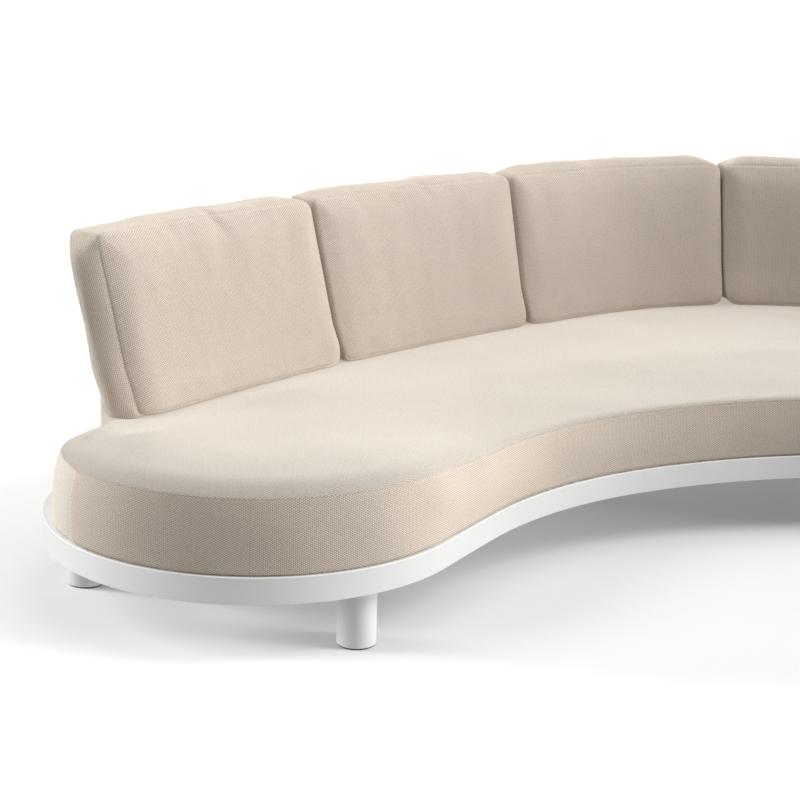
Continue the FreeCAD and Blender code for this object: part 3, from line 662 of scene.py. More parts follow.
def back_shape(width, seed):
    """The cushion blown up, with its own creases, in flat coordinates."""
    rest = back_rest(width, seed)
    # the seams hold still while the cloth between them swells
    gap = np.maximum(panel_inside(rest.front[..., [0, 2]], width, seed), 0)
    near = np.minimum(np.arange(rest.nt), np.arange(rest.nt)[::-1]) * T_FOOT / (rest.nt - 1)
    near = np.broadcast_to(near[1:-1], (len(rest.loop), rest.nt - 2))
    share = np.concatenate([gap.ravel(), gap.ravel(), near.ravel()])
    return rest, inflate(rest, cap=0.006, share=0.15 + 0.85 * smooth(share, 0.0, 0.060))


def seam_profile(d):
    """How far cloth sinks at distance d from a seam and swells beside it."""
    return -0.0016 * np.exp(-(d / 0.0028) ** 2) + 0.0003 * np.exp(-((d - 0.0080) / 0.004) ** 2)


# dents and soft folds seen on the cushions: start u, v, end u, v, width, depth
# (all but the depth as shares of the panel), one list for each of three makes
FOLDS = {
    1: [(0.490, 1.00, 0.570, 0.84, 0.018, 0.0050), (0.520, 1.00, 0.61, 0.85, 0.018, -0.0034),
        (0.30, 1.00, 0.33, 0.82, 0.028, 0.0028), (0.73, 1.0, 0.75, 0.80, 0.030, 0.0016),
        (0.40, 0.02, 0.33, 0.28, 0.034, 0.0012), (0.62, 0.02, 0.70, 0.30, 0.038, 0.0010)],
    2: [(0.52, 1.00, 0.61, 0.85, 0.022, 0.0038), (0.555, 1.00, 0.65, 0.86, 0.022, -0.0026),
        (0.20, 0.98, 0.24, 0.74, 0.030, 0.0022), (0.36, 1.0, 0.38, 0.82, 0.026, 0.0018),
        (0.30, 0.02, 0.26, 0.24, 0.034, 0.0012), (0.76, 1.0, 0.78, 0.84, 0.030, 0.0018)],
    3: [(0.45, 1.00, 0.47, 0.84, 0.030, 0.0022), (0.24, 1.00, 0.26, 0.86, 0.026, 0.0018),
        (0.70, 1.0, 0.72, 0.82, 0.030, 0.0014), (0.55, 0.02, 0.50, 0.22, 0.034, 0.0010)],
}


def fold_field(u, v, which, aspect):
    out = np.zeros_like(u)
    for u0, v0, u1, v1, width, depth in FOLDS[which]:
        ax, ay = u0 * aspect, v0
        bx, by = u1 * aspect, v1
        dx, dy = bx - ax, by - ay
        k = np.clip(((u * aspect - ax) * dx + (v - ay) * dy) / (dx * dx + dy * dy), 0, 1)
        dist = np.hypot(u * aspect - ax - k * dx, v - ay - k * dy)
        wide = width * aspect * (0.55 + 0.9 * k)
        out -= depth * (1 - k) ** 0.7 * np.exp(-(dist / wide) ** 2)
    return out


def stitches(name, path, normal, along, body, pitch=0.0068, length=0.0040, radius=0.00048):
    """A row of separate stitches lying on a path over the cloth."""
    seg = np.linalg.norm(np.diff(path, axis=0), axis=1)
    s = np.concatenate([[0], np.cumsum(seg)])
    n = int(s[-1] / pitch)
    at = (np.arange(n) + 0.5) * s[-1] / n
    ip = lambda a: np.stack([np.interp(at, s, a[:, k]) for k in range(3)], -1)
    c, nn, tt = ip(path), unit(ip(normal)), unit(ip(along))
    side = unit(np.cross(nn, tt))
    ring, rows = 6, ((-0.5, 0.15), (-0.36, 0.8), (0.0, 1.0), (0.36, 0.8), (0.5, 0.15))
    ang = np.arange(ring) * 2 * math.pi / ring
    co = []
    for along_k, rk in rows:
        for a in ang:
            co.append(c + tt * (along_k * length) + (side * math.cos(a) + nn * math.sin(a)) * radius * rk
                      + nn * (radius * (0.1 - 1.6 * (2 * along_k) ** 2)))
    co = np.stack(co, 1)
    quads = []
    for r in range(len(rows) - 1):
        for k in range(ring):
            quads.append([r * ring + k, (r + 1) * ring + k, (r + 1) * ring + (k + 1) % ring, r * ring + (k + 1) % ring])
    quads.append([0, 1, 2, 3])
    quads.append([0, 3, 4, 5])
    q = (len(rows) - 1) * ring
    quads.append([q + 3, q + 2, q + 1, q])
    quads.append([q + 5, q + 4, q + 3, q])
    quads = np.array(quads)[None] + (np.arange(n) * len(rows) * ring)[:, None, None]
    ob = mesh_object(name, co.reshape(-1, 3), quads.reshape(-1, 4), M_THREAD)
    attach(ob, body)
    return ob


SHAPES = {}


def back_cushion(node, foot, head, make, mirror=False, free_low=False, free_high=False):
    """One back cushion between two signed lengths along the foot line, given at
    its foot and at its head."""
    gap = 0.002
    w0 = 0.770
    if make not in SHAPES:
        SHAPES[make] = back_shape(w0, make)
    rest, shp = SHAPES[make]
    fine_u, fine_v = lines(w0, 0.0078), lines(HEIGHT, 0.0078)
    pu = fine_u / w0 * (rest.nu - 1)
    pv = fine_v / HEIGHT * (rest.nv - 1)
    tt = lines(T_FOOT, 0.0085)
    pt = tt / T_FOOT * (rest.nt - 1)
    rest_f, shp_f = rest.resampled(pu, pv, pt), shp.resampled(pu, pv, pt)
    fr = rest_f.front
    d_front = np.maximum(panel_inside(fr[..., [0, 2]], w0, make), 0)
    u, v = fr[..., 0] / w0, fr[..., 2] / HEIGHT
    # normals towards the outside
    nf = -grid_normals(shp_f.front)
    if nf[..., 1].mean() > 0:
        nf = -nf
    nb = grid_normals(shp_f.back)
    if nb[..., 1].mean() < 0:
        nb = -nb
    ns = grid_normals(shp_f.strip, True)
    centre = shp_f.flat().mean(0)
    if ((shp_f.strip - centre) * ns).sum() < 0:
        ns = -ns
    i, j = shp_f.loop[:, 0], shp_f.loop[:, 1]
    rim_f = unit(nf[i, j] + ns[:, 0])
    rim_b = unit(nb[i, j] + ns[:, -1])
    edge = np.clip(d_front / 0.02, 0, 1)
    wav = Waves(100 + make, 0.13, 0.36)
    wav2 = Waves(200 + make, 0.035, 0.08)
    relief = seam_profile(d_front) + edge * (0.0009 * wav(fr[..., 0] * 1.5, fr[..., 2] * 0.55)
                                             + 0.00012 * wav2(fr[..., 0], fr[..., 2]))
    relief += fold_field(u, v, make, w0 / HEIGHT) * smooth(d_front, -0.001, 0.012)
    new_front = shp_f.front + nf * relief[..., None]
    relb = seam_profile(d_front) + edge * 0.0015 * wav(fr[..., 0] + 3, fr[..., 2])
    new_back = shp_f.back + nb * relb[..., None]
    ts = rest_f.strip[..., 1]
    thick = rest_f.strip[:, -1:, 1] - rest_f.strip[:, :1, 1]
    d_s = np.minimum(ts - rest_f.strip[:, :1, 1], rest_f.strip[:, -1:, 1] - ts)
    sl = np.concatenate([[0], np.cumsum(np.linalg.norm(np.diff(rest_f.strip[:, 0], axis=0), axis=1))])
    rels = seam_profile(d_s) + np.clip(d_s / 0.02, 0, 1) * 0.0012 * wav(sl[:, None] + 0 * d_s, d_s + 5)
    # the front's folds run a little way over the top edge
    us, vs = rest_f.strip[:, 0, 0] / w0, rest_f.strip[:, 0, 2] / HEIGHT
    carry = fold_field(us, np.clip(vs, 0, 1), make, w0 / HEIGHT) * (vs > 0.9)
    rels += carry[:, None] * np.exp(-(d_s / 0.03) ** 2) * smooth(d_s, 0.0, 0.006)
    new_strip = shp_f.strip + ns * rels[..., None]
    # at the foot the boxing stands upright for a finger's width under the seam
    behind = ts - rest_f.strip[:, :1, 1]
    foot_row = smooth(rest_f.strip[:, 0, 2], 0.040, 0.014)[:, None]
    new_strip[..., 1] -= foot_row * 0.0030 * smooth(behind, 0.0, 0.006) * smooth(behind, 0.034, 0.010)
    new_strip[:, 0] = shp_f.strip[:, 0] + rim_f * seam_profile(np.zeros(1))
    new_strip[:, -1] = shp_f.strip[:, -1] + rim_b * seam_profile(np.zeros(1))
    cush = Boxed(new_front, new_strip, new_back)
    # the cloth map, in metres, one island for each panel
    uvf = np.stack([fr[..., 0], fr[..., 2]], -1)
    uvb = uvf + np.array([0.0, 1.0])
    per = sl[-1] + np.linalg.norm(rest_f.strip[-1, 0] - rest_f.strip[0, 0])
    run_t = np.linalg.norm(np.diff(shp_f.strip, axis=1), axis=2)
    run_t = np.concatenate([np.zeros((len(run_t), 1)), np.cumsum(run_t, axis=1)], 1)
    uvs = np.stack([np.broadcast_to(sl[:, None], ts.shape), 2.0 + run_t], -1)
    fq, sq, bq = cush.faces()
    quad = lambda g: np.stack([g[:-1, :-1], g[1:, :-1], g[1:, 1:], g[:-1, 1:]], -2).reshape(-1, 4, 2)
    last = uvs[:1].copy()
    last[..., 0] = per
    uv = np.concatenate([quad(uvf), quad(np.concatenate([uvs, last], 0))[:, ::-1], quad(uvb)[:, ::-1]])
    # settle: stands on the seat, against its neighbours and the back panel
    co = cush.flat()
    lim = 0.0006
    x, y, z = co[:, 0], co[:, 1], co[:, 2]
    if mirror:
        x = w0 - x
    if make == 1:
        # the free end's upper corner is pushed out
        shift = 0.008 * smooth(x if not mirror else w0 - x, 0.25, 0.0) * z / HEIGHT
        x = x + (shift if mirror else -shift)
    low = 0.090 if free_low else lim
    high = 0.090 if free_high else lim
    x = np.where(x < 0, -low * np.tanh(-x / low), x)
    x = np.where(x > w0, w0 + high * np.tanh((x - w0) / high), x)
    z = np.where(z < 0.004, 0.004 - 0.0037 * np.tanh((0.004 - z) / 0.0037), z)
    lean = LEAN * z / HEIGHT - 0.012 * smooth(z, 0.12, 0.0)
    wall = BF - 0.067 - lean
    press = smooth(z, 0.318, 0.296)
    over = y - (wall - 0.004)
    y = np.where(over > 0, y - press * (over - 0.004 * np.tanh(over / 0.004)), y)
    up = z / HEIGHT
    a = foot[0] + (head[0] - foot[0]) * up + gap
    b = foot[1] + (head[1] - foot[1]) * up - gap
    run = a + (b - a) * np.clip(x, 0, w0) / w0 + np.minimum(x, 0) + np.maximum(x - w0, 0)
    p, n = rear_xy(run, BF - lean - y)
    world = np.stack([p[:, 0], p[:, 1], SEAT_Z - PRESS * (1 - z / HEIGHT) + 0.0003 + z], -1)
    quads = np.concatenate([fq, sq, bq])
    if mirror:
        quads, uv = quads[:, ::-1], uv[:, ::-1]
    ob = mesh_object(node.replace("back_cushion", "back_pad"), world, quads, M_BACK, uv)
    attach(ob, node)
    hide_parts(node)
    # stitching on the boxing beside the front seam
    f, s, b_ = cush.topology()
    row = int(np.argmin(np.abs(tt - 0.0036)))
    idx = s[:, row]
    path = world[idx]
    cen = world.mean(0)
    along = np.roll(path, -1, 0) - np.roll(path, 1, 0)
    across = world[s[:, row + 2]] - world[s[:, max(row - 1, 0)]]
    nrm = unit(np.cross(along, across))
    if ((path - cen) * nrm).sum() < 0:
        nrm = -nrm
    st = stitches(node.replace("back_cushion", "back_stitching"), np.concatenate([path, path[:1]]),
                  np.concatenate([nrm, nrm[:1]]), np.concatenate([along, along[:1]]), node)
    return ob


ROW = 2.353
back_cushion("back_cushion_outer_left", (-2.321, -1.551), (-2.353, -1.583), 1, free_low=True)
back_cushion("back_cushion_middle_left", (-1.551, -0.795), (-1.583, -0.795), 2)
back_cushion("back_cushion_inner_left", (-0.795, -0.036), (-0.795, -0.036), 3)
back_cushion("back_cushion_inner_right", (-0.036, 0.729), (-0.036, 0.729), 3, mirror=True)
back_cushion("back_cushion_middle_right", (0.729, 1.485), (0.729, 1.517), 2, mirror=True)
back_cushion("back_cushion_outer_right", (1.485, 2.255), (1.517, 2.287), 1, mirror=True, free_high=True)


# --------------------------------------------------------------- seat cushion
SI, SR = 0.003, 0.080
A_1, A_2, A_3 = math.radians(216.0), math.radians(185.0), math.radians(151.0)
R_1, R_2 = 0.357, 0.240


def ray(a):
    return np.stack([np.cos(a), np.sin(a)], -1)


C_1 = C_L + ray(A_1) * (R_L - SI - R_1)
C_2 = C_1 + ray(A_2) * (R_1 - R_2)
P_3 = C_2 + ray(A_3) * R_2
R_SR = R_RS - SR
_w = P_3 - C_RS
R_3 = (R_SR ** 2 - _w @ _w) / (2 * (R_SR - _w @ ray(A_3)))
C_3 = P_3 - ray(A_3) * R_3
_n = C_3 - C_RS
T_K = math.atan2(-_n[0], _n[1])
HP = math.pi / 2


def arc_pts(c, r, a0, a1, step=0.004):
    n = max(3, int(abs(a1 - a0) * r / step))
    a = np.linspace(a0, a1, n)
    d = ray(a)
    return c + d * r, d


def seat_outline():
    """Left half, from the front of the axis round to its rear: points, outward
    normals, and how convex each place is (1 on the rounded end, 0 in front)."""
    P, N = [], []

    def add(p, n):
        P.append(p)
        N.append(n)

    p, d = arc_pts(C_FM, R_FM + SI, HP, HP + T_FM)
    add(p, -d)
    p, d = arc_pts(C_FS, R_FS + SI, HP + T_FM, HP + T_FS)
    add(p, -d)
    o = m2(T_FS)
    k = np.linspace(0, 1, 58)[:, None]
    p = (P_S0 + o * SI) * (1 - k) + (P_S1 + o * SI) * k
    add(p, np.repeat(-o[None], len(p), 0))
    p, d = arc_pts(C_L, R_L - SI, T_FS + 1.5 * math.pi, A_1)
    add(p, d)
    p, d = arc_pts(C_1, R_1, A_1, A_2)
    add(p, d)
    p, d = arc_pts(C_2, R_2, A_2, A_3)
    add(p, d)
    p, d = arc_pts(C_3, R_3, A_3, HP + T_K)
    add(p, d)
    p, d = arc_pts(C_RS, R_SR, HP + T_K, HP + T_RM)
    add(p, d)
    p, d = arc_pts(C_RM, R_RM - SR, HP + T_RM, HP)
    add(p, d)
    P, N = np.concatenate(P), np.concatenate(N)
    s = np.concatenate([[0], np.cumsum(np.linalg.norm(np.diff(P, axis=0), axis=1))])
    keep = np.concatenate([[True], np.diff(s) > 1e-7])
    return P[keep], N[keep], s[keep]


OP, ON, OS = seat_outline()
FRONT_LEN = (R_FM + SI) * T_FM + (R_FS + SI) * (T_FS - T_FM) + STRAIGHT
# how far round the end each mark lies, as a length along the outline
S_C1 = FRONT_LEN + (R_L - SI) * (T_FS + 1.5 * math.pi - math.radians(266.0))
S_SEAM = FRONT_LEN + (R_L - SI) * (T_FS + 1.5 * math.pi - A_1)
S_END = S_SEAM + R_1 * (A_1 - A_2)
S_C2 = S_END + R_2 * (A_2 - math.radians(163.0))
S_JOIN = S_SEAM + 0.039          # the boxing's own upright seam
S_ALL = OS[-1]


def outline_at(s):
    p = np.stack([np.interp(s, OS, OP[:, k]) for k in range(2)], -1)
    n = unit(np.stack([np.interp(s, OS, ON[:, k]) for k in range(2)], -1))
    return p, n


def nose(s):
    """1 where the outline bulges out at the rounded end, 0 in the hollow front."""
    return smooth(s, FRONT_LEN - 0.30, FRONT_LEN + 0.16) * smooth(s, S_END + 0.55, S_END + 0.05)


def seat_section(s, q):
    """Inset from the outline and height on the boxing, q 0 at the top seam and
    1 at the bottom edge."""
    k = nose(s)
    end = smooth(s, S_SEAM - 0.12, S_SEAM + 0.16) * smooth(s, S_C2 + 0.5, S_C2)
    rear = smooth(s, S_C2 + 0.1, S_C2 + 0.5)
    z_top = 0.362 + 0.0160 * k - 0.0045 * end + 0.004 * rear
    in_top = -0.001 + 0.011 * k + 0.010 * end + 0.012 * rear
    q = np.asarray(q, float)
    # heights spaced evenly along the wall
    z = z_top + (0.2086 - z_top) * q
    f = 1 - q
    lean = in_top * (0.30 * f ** 2.0 + 0.70 * f ** 5.0)
    belly = -0.006 * np.sin(math.pi * np.clip(f * 0.95 + 0.02, 0, 1)) * (1 - 0.4 * k - 0.45 * end)
    foot = 0.009 * np.exp(-np.abs((z - 0.2086) / 0.0036) ** 1.6)
    return lean + belly + foot, z


def seat_half_edges(nu, nv):
    sa = np.linspace(0, 1, nu)
    front = sa * S_C1
    rear = S_ALL + (S_C2 - S_ALL) * sa
    end = S_C1 + (S_C2 - S_C1) * np.linspace(0, 1, nv)
    return front, rear, end


def distance_to(points, poly):
    out = np.empty(len(points))
    who = np.empty(len(points), int)
    for k in range(0, len(points), 2000):
        d = points[k:k + 2000, None, :] - poly[None]
        d = (d ** 2).sum(-1)
        who[k:k + 2000] = d.argmin(1)
        out[k:k + 2000] = np.sqrt(d.min(1))
    return out, who


def side_lines(count, close):
    """0..1 with a few extra lines close to both ends, as shares."""
    base = np.linspace(0, 1, count)
    return np.unique(np.concatenate([base, close, 1 - np.array(close)]))


def seat_cushion():
    half = 190
    across = 92
    ca = side_lines(across, [0.0016, 0.0035, 0.0062, 0.0100])
    nv = len(ca)
    # left half then mirrored right half, left end to right end
    sa = np.linspace(0, 1, half)
    sa = np.unique(np.concatenate([sa, 1 - np.array([0.0012, 0.0026, 0.0045, 0.0072])]))
    nh = len(sa)
    s_front = sa * S_C1
    s_rear = S_ALL + (S_C2 - S_ALL) * sa
    s_end = S_C1 + (S_C2 - S_C1) * ca

    def rim(s, q=0.0):
        p, n = outline_at(s)
        inset, z = seat_section(s, q)
        return p - n * inset[:, None], z, n

    pf, zf, _ = rim(s_front)
    pr, zr, _ = rim(s_rear)
    pe, ze, _ = rim(s_end)
    yy = ca[:, None]
    axis = pf[0] * (1 - yy) + pr[0] * yy
    # surface over the half, u from the axis to the end, v from front to rear
    u = sa[:, None, None]
    v = ca[None, :, None]
    c = (1 - u) * (1 - v) * pf[0] + u * (1 - v) * pf[-1] + (1 - u) * v * pr[0] + u * v * pr[-1]
    plan = ((1 - v) * pf[:, None] + v * pr[:, None] + (1 - u) * axis[None] + u * pe[None] - c)
    # distance in from the top seam and the seam's height there
    dense = np.concatenate([np.linspace(0, S_ALL, 2600)])
    dp, dz, _ = rim(dense)
    flat = plan.reshape(-1, 2)
    split = int(np.searchsorted(dense, S_C2 + 0.12))
    d_f, who_f = distance_to(flat, dp[:split])
    d_r, who_r = distance_to(flat, dp[split:])
    d = np.minimum(d_f, d_r)
    # a tight round next to the seam and a long soft dome behind it, which the
    # hollow front and the rear hardly have
    swell = smooth(dense[who_f], 1.05, 1.60)
    to_lobe = flat - C_L
    lobe = smooth(np.linalg.norm(to_lobe, axis=1), 0.80, 0.25)
    high = 0.3975 + 0.0150 * lobe * np.maximum(smooth(d_f, 0.10, 0.34), smooth(to_lobe[:, 0], -0.43, -0.23))
    high = high - 0.0060 * smooth(to_lobe[:, 0], -0.25, -0.45)
    plain = (0.14 * (1 - np.clip(1 - d_f / 0.022, 0, 1) ** 2)
             + 0.86 * (1 - np.clip(1 - d_f / 0.420, 0, 1) ** 1.35))
    dome = (0.58 * (1 - np.clip(1 - d_f / 0.085, 0, 1) ** 2.7)
            + 0.42 * (1 - np.clip(1 - d_f / 0.270, 0, 1) ** 2.2))
    g_f = plain + (dome - plain) * swell
    reach = 0.150 - 0.075 * smooth(dense[split:][who_r], S_C2 + 0.10, S_C2 + 0.40)
    g_r = 1 - np.clip(1 - d_r / reach, 0, 1) ** 2.3
    drop_f = (high - dz[:split][who_f]) * (1 - g_f)
    drop_r = (high - dz[split:][who_r]) * (1 - g_r)
    z = high - np.maximum(drop_f, drop_r)
    swell = swell * (d_f <= d_r)
    w1, w2 = Waves(11, 0.22, 0.6), Waves(12, 0.07, 0.16)
    calm = smooth(d, 0.01, 0.09)
    z = z + calm * (0.00045 * w1(flat[:, 0], flat[:, 1]) + 0.00010 * w2(flat[:, 0], flat[:, 1]))
    # pressed down to one level where the back cushions stand
    rim_rear = rear_foot_distance(flat)
    press = smooth(rim_rear, 0.400, 0.258)
    bed = 0.3977 - PRESS
    z = np.where(press > 0, z * (1 - press) + np.minimum(z, bed) * press, z)
    z = np.maximum(z, z * (1 - press) + (bed - 0.0003) * press * (d > 0.05) + z * press * (d <= 0.05))
    z = z + seam_profile(d) * (0.9 - 0.45 * swell)
    zt = z.reshape(plan.shape[:2])
    half_top = np.concatenate([plan, zt[..., None]], -1)
    # whole top: u from the left end to the right end
    left = half_top[::-1]
    right = half_top[1:] * np.array([-1, 1, 1])
    topg = np.concatenate([left, right], 0)
    nu = topg.shape[0]
    i = loop_of(nu, nv)
    # the outline length that belongs to each point of the edge loop
    s_grid = np.zeros((nh, nv))
    s_grid[:, 0], s_grid[:, -1], s_grid[-1, :] = s_front, s_rear, s_end
    s_full = np.concatenate([s_grid[::-1], s_grid[1:]], 0)
    sign = np.concatenate([np.ones(nh), -np.ones(nh - 1)])
    s_loop = s_full[i[:, 0], i[:, 1]]
    g_loop = sign[i[:, 0]]
    zq = np.concatenate([[0, 0.010, 0.021, 0.036, 0.055, 0.078], np.linspace(0.105, 0.90, 16),
                         [0.93, 0.955, 0.972, 0.985, 0.994, 1.0]])
    nt = len(zq)
    strip = np.zeros((len(i), nt, 3))
    p, n = outline_at(s_loop)
    w3 = Waves(21, 0.10, 0.35)
    for k, q in enumerate(zq):
        inset, zz = seat_section(s_loop, q)
        dq = q * (0.362 - 0.2086)
        soft = 0.0010 * w3(s_loop * g_loop, zz + 0 * s_loop) * math.sin(math.pi * q)
        # the two panels of the boxing puff out beside their own seam
        ds = np.abs(s_loop - S_JOIN)
        puff = (-0.0050 * np.exp(-(ds / 0.045) ** 1.2) + seam_profile(ds)) * smooth(q, 0.0, 0.04) * smooth(q, 1.0, 0.97)
        inset = inset - soft - seam_profile(dq) * 0.8 - puff
        xy = p - n * inset[:, None]
        strip[:, k, 0] = xy[:, 0] * g_loop
        strip[:, k, 1] = xy[:, 1]
        strip[:, k, 2] = zz
    strip[:, 0] = topg[i[:, 0], i[:, 1]]
    bottom = topg.copy()
    bottom[..., 2] = 0.2085
    bottom[..., :2] = bottom[..., :2]
    # pull the underside's grid in to the boxing's lower edge
    low = strip[:, -1, :2] - topg[i[:, 0], i[:, 1]][:, :2]
    shift = np.zeros(topg.shape[:2] + (2,))
    cnt = np.zeros(topg.shape[:2])
    shift[i[:, 0], i[:, 1]] = low
    b = bottom
    b[i[:, 0], i[:, 1], :2] += low
    cush = Boxed(topg, strip, b)
    # cloth map
    uvt = topg[..., :2].copy()
    ls = np.where(g_loop > 0, s_loop, 2 * S_ALL - s_loop + 0.0)
    lp = np.concatenate([[0], np.cumsum(np.linalg.norm(np.diff(strip[:, nt // 2, :2], axis=0), axis=1))])
    per = lp[-1] + np.linalg.norm(strip[-1, nt // 2] - strip[0, nt // 2])
    uvs = np.stack([np.broadcast_to(lp[:, None], (len(i), nt)), 5 + strip[..., 2]], -1)
    # past the boxing's own seam the end panel's weave is turned
    fq, sq, bq = cush.faces()
    quad = lambda a: np.stack([a[:-1, :-1], a[1:, :-1], a[1:, 1:], a[:-1, 1:]], -2).reshape(-1, 4, 2)
    last = uvs[:1].copy()
    last[..., 0] = per
    us = quad(np.concatenate([uvs, last], 0))[:, ::-1]
    sl = quad(np.stack([np.broadcast_to(np.concatenate([s_loop, s_loop[:1]])[:, None], (len(i) + 1, nt)),
                        np.zeros((len(i) + 1, nt))], -1))[:, ::-1, 0].mean(1)
    turned = (sl > S_JOIN) & (sl < S_C2 + 0.4)
    us = np.where(turned[:, None, None], us[..., ::-1] + 9.0, us)
    uv = np.concatenate([quad(uvt), us, quad(uvt)[:, ::-1] + 12.0])
    co = cush.flat()
    ob = mesh_object("seat_pad", co, np.concatenate([fq, sq, bq]), M_SEAT, uv)
    ob.data.materials.append(M_SEAT_SIDE)
    ob.data.materials.append(M_SEAT_END_PAINTED_LIGHT)
    # the end panel's faces take the cloth copy painted lighter, painted light from the left; the top and the boxing
    # take their own light-matched tones
    which = np.zeros(len(ob.data.polygons), np.int32)
    which[len(fq):len(fq) + len(sq)] = np.where(turned, 2, 1)
    ob.data.polygons.foreach_set("material_index", which)
    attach(ob, "seat_cushion")
    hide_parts("seat_cushion")
    # stitching under the top seam
    f, s, b_ = cush.topology()
    path = co[s[:, 2]]
    along = np.roll(path, -1, 0) - np.roll(path, 1, 0)
    across = co[s[:, 4]] - co[s[:, 1]]
    nrm = unit(np.cross(along, across))
    if ((path - np.array([0, 0.2, 0.3])) * nrm)[:, :2].sum() < 0:
        nrm = -nrm
    st = stitches("seat_stitching", np.concatenate([path, path[:1]]), np.concatenate([nrm, nrm[:1]]),
                  np.concatenate([along, along[:1]]), "seat_cushion", pitch=0.0075)
    return ob


def rear_foot_distance(points):
    """Inset of plan points from the rear rim, measured square to it."""
    x, y = -np.abs(points[:, 0]), points[:, 1]
    p = np.stack([x, y], -1)
    a = p - C_RM
    ta = np.arctan2(-a[:, 0], a[:, 1])
    ra = R_RM - np.linalg.norm(a, axis=1)
    b = p - C_RS
    tb = np.arctan2(-b[:, 0], b[:, 1])
    rb = R_RS - np.linalg.norm(b, axis=1)
    along = (p - C_L) @ HEAD
    rc = R_L - (p - C_L) @ m2(T_RS)
    out = np.where(ta <= T_RM, ra, np.where(tb <= T_RS, rb, rc))
    beyond = np.where(tb > T_RS, smooth(along, ROW - L2 + 0.02, ROW - L2 + 0.22), 0.0)
    return out + 0.15 * beyond


seat_cushion()

# ---------------------------------------------------------------- floor, light
fm, fnt, fb = new_material("studio_floor")
fb.inputs["Base Color"].default_value = (0.41, 0.41, 0.41, 1)
fb.inputs["Roughness"].default_value = 0.9
fb.inputs["Specular IOR Level"].default_value = 0.0
fb.inputs["Emission Color"].default_value = (1.0, 1.0, 1.0, 1)
fb.inputs["Emission Strength"].default_value = 0.10
floor = mesh_object("studio_floor", [(-90, -60, 0), (90, -60, 0), (90, 160, 0), (-90, 160, 0)], [[0, 1, 2, 3]], fm)
floor.visible_diffuse = False
floor.visible_glossy = False

world = bpy.data.worlds.new("studio")
SCENE.world = world
world.use_nodes = True
bg = world.node_tree.nodes["Background"]
bg.inputs[0].default_value = (1.0, 1.0, 1.0, 1.0)
bg.inputs[1].default_value = 0.37



def group(name, objects, state):
    c = bpy.data.collections.new(name)
    for o in objects:
        c.objects.link(o)
    for link in c.collection_objects:
        link.light_linking.link_state = state
    return c


# the floor, the seat cushion and all the rest each have their own lights; the
# seat's lights from behind reach it past the back cushions
_seat = [bpy.data.objects["seat_pad"], bpy.data.objects["seat_stitching"]]
_backs = [o for o in SCENE.objects if o.type == "MESH" and o.name.startswith("back_")]
ON_FLOOR = group("lit_by_floor_lights", [floor], "INCLUDE")
ON_SEAT = group("lit_by_seat_lights", _seat, "INCLUDE")
ON_REST = group("not_lit_by_other_lights", [floor] + _seat, "EXCLUDE")
ON_PADS = group("lit_by_back_cushion_lights", [o for o in _backs if o.name.startswith(("back_pad", "back_stitching"))],
                "INCLUDE")
PAST_BACKS = group("no_shadow_from", _backs, "EXCLUDE")


def sun(name, az, el, strength, angle, receivers, blockers=None):
    """A soft distant light.  az is where it comes from: 0 behind, 90 right."""
    a, e = math.radians(az), math.radians(el)
    v = Vector((math.sin(a) * math.cos(e), math.cos(a) * math.cos(e), math.sin(e)))
    d = bpy.data.lights.new(name, "SUN")
    d.energy = strength
    d.angle = math.radians(angle)
    o = bpy.data.objects.new(name, d)
    o.rotation_euler = (-v).to_track_quat("-Z", "Y").to_euler()
    o.location = v * 8
    SCENE.collection.objects.link(o)
    o.light_linking.receiver_collection = receivers
    if blockers is not None:
        o.light_linking.blocker_collection = blockers
    return o


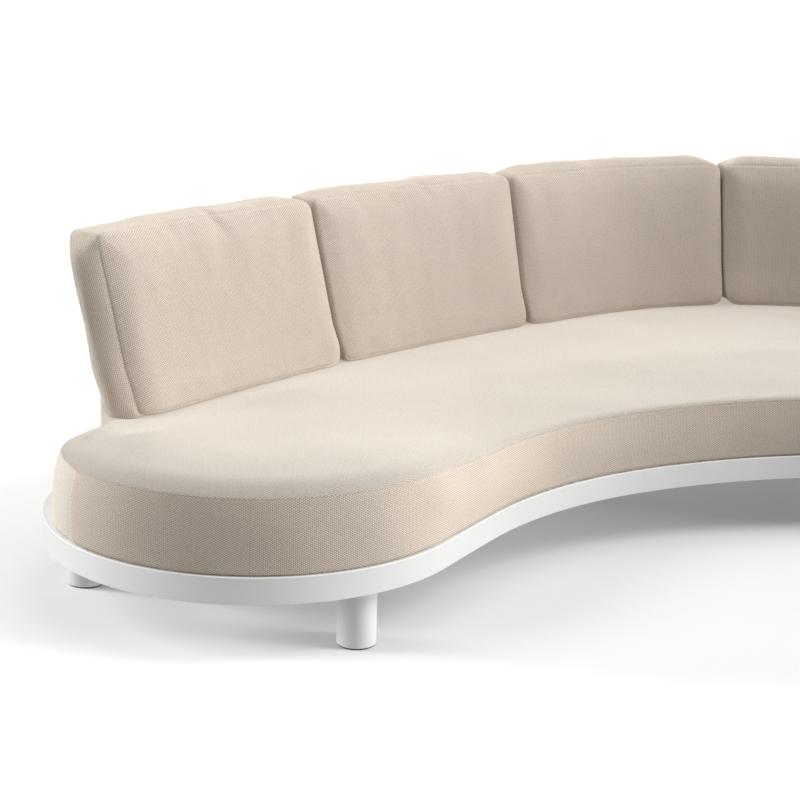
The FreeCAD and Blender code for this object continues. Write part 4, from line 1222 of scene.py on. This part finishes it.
sun("low_right_rear", 75, 10, 1.26, 20, ON_REST)
sun("low_right", 105, 10, 1.02, 20, ON_REST)
sun("low_left", 275, 10, 1.56, 20, ON_REST)
sun("low_left_rear", 300, 10, 0.67, 20, ON_REST)
sun("right", 100, 38, 1.46, 25, ON_REST)
sun("overhead", 270, 66, 1.10, 50, ON_REST)
sun("left_rear", 300, 20, 0.90, 25, ON_PADS)
sun("right_rear", 30, 36, 1.10, 25, ON_PADS)
sun("seat_low_right", 105, 10, 2.12, 20, ON_SEAT)
sun("seat_low_left", 270, 10, 0.58, 20, ON_SEAT)
sun("seat_right", 80, 38, 1.02, 25, ON_SEAT)
sun("seat_left", 270, 38, 0.64, 25, ON_SEAT)
sun("seat_left_rear", 300, 14, 2.12, 20, ON_SEAT, PAST_BACKS)
sun("seat_rear", 30, 14, 2.20, 20, ON_SEAT, PAST_BACKS)
sun("seat_right_rear", 60, 14, 1.87, 20, ON_SEAT, PAST_BACKS)
sun("floor_low_right", 105, 10, 4.49, 20, ON_FLOOR)
sun("floor_low_left", 285, 10, 14.73, 20, ON_FLOOR)
sun("floor_right", 100, 38, 2.83, 25, ON_FLOOR)
sun("floor_left", 260, 38, 2.22, 25, ON_FLOOR)
sun("floor_overhead", 90, 66, 1.52, 50, ON_FLOOR)

# ----------------------------------------------------------------------- camera
PITCH, ROLL, PHI = 0.1999, -0.02476, 0.1140456
fwd = Vector((math.cos(PITCH) * math.sin(PHI), math.cos(PITCH) * math.cos(PHI), -math.sin(PITCH)))
rt = Vector((math.cos(PHI), -math.sin(PHI), 0.0))
dn = Vector((-math.sin(PITCH) * math.sin(PHI), -math.sin(PITCH) * math.cos(PHI), -math.cos(PITCH)))
right = rt * math.cos(ROLL) + dn * math.sin(ROLL)
down = dn * math.cos(ROLL) - rt * math.sin(ROLL)
cam_data = bpy.data.cameras.new("camera")
cam_data.lens = 1801.15 / 800.0 * 36.0
cam_data.sensor_width = 36.0
cam_data.sensor_fit = "HORIZONTAL"
cam_data.shift_y = -(400.0 - 292.93) / 800.0
cam_data.clip_end = 400.0
cam = bpy.data.objects.new("camera", cam_data)
m = Matrix((right, -down, -fwd)).transposed().to_4x4()
m.translation = Vector((-1.7133, -4.6733, 1.5543))
cam.matrix_world = m
SCENE.collection.objects.link(cam)
SCENE.camera = cam

SCENE.view_settings.view_transform = "Standard"
SCENE.view_settings.look = "None"
SCENE.view_settings.exposure = 0.0
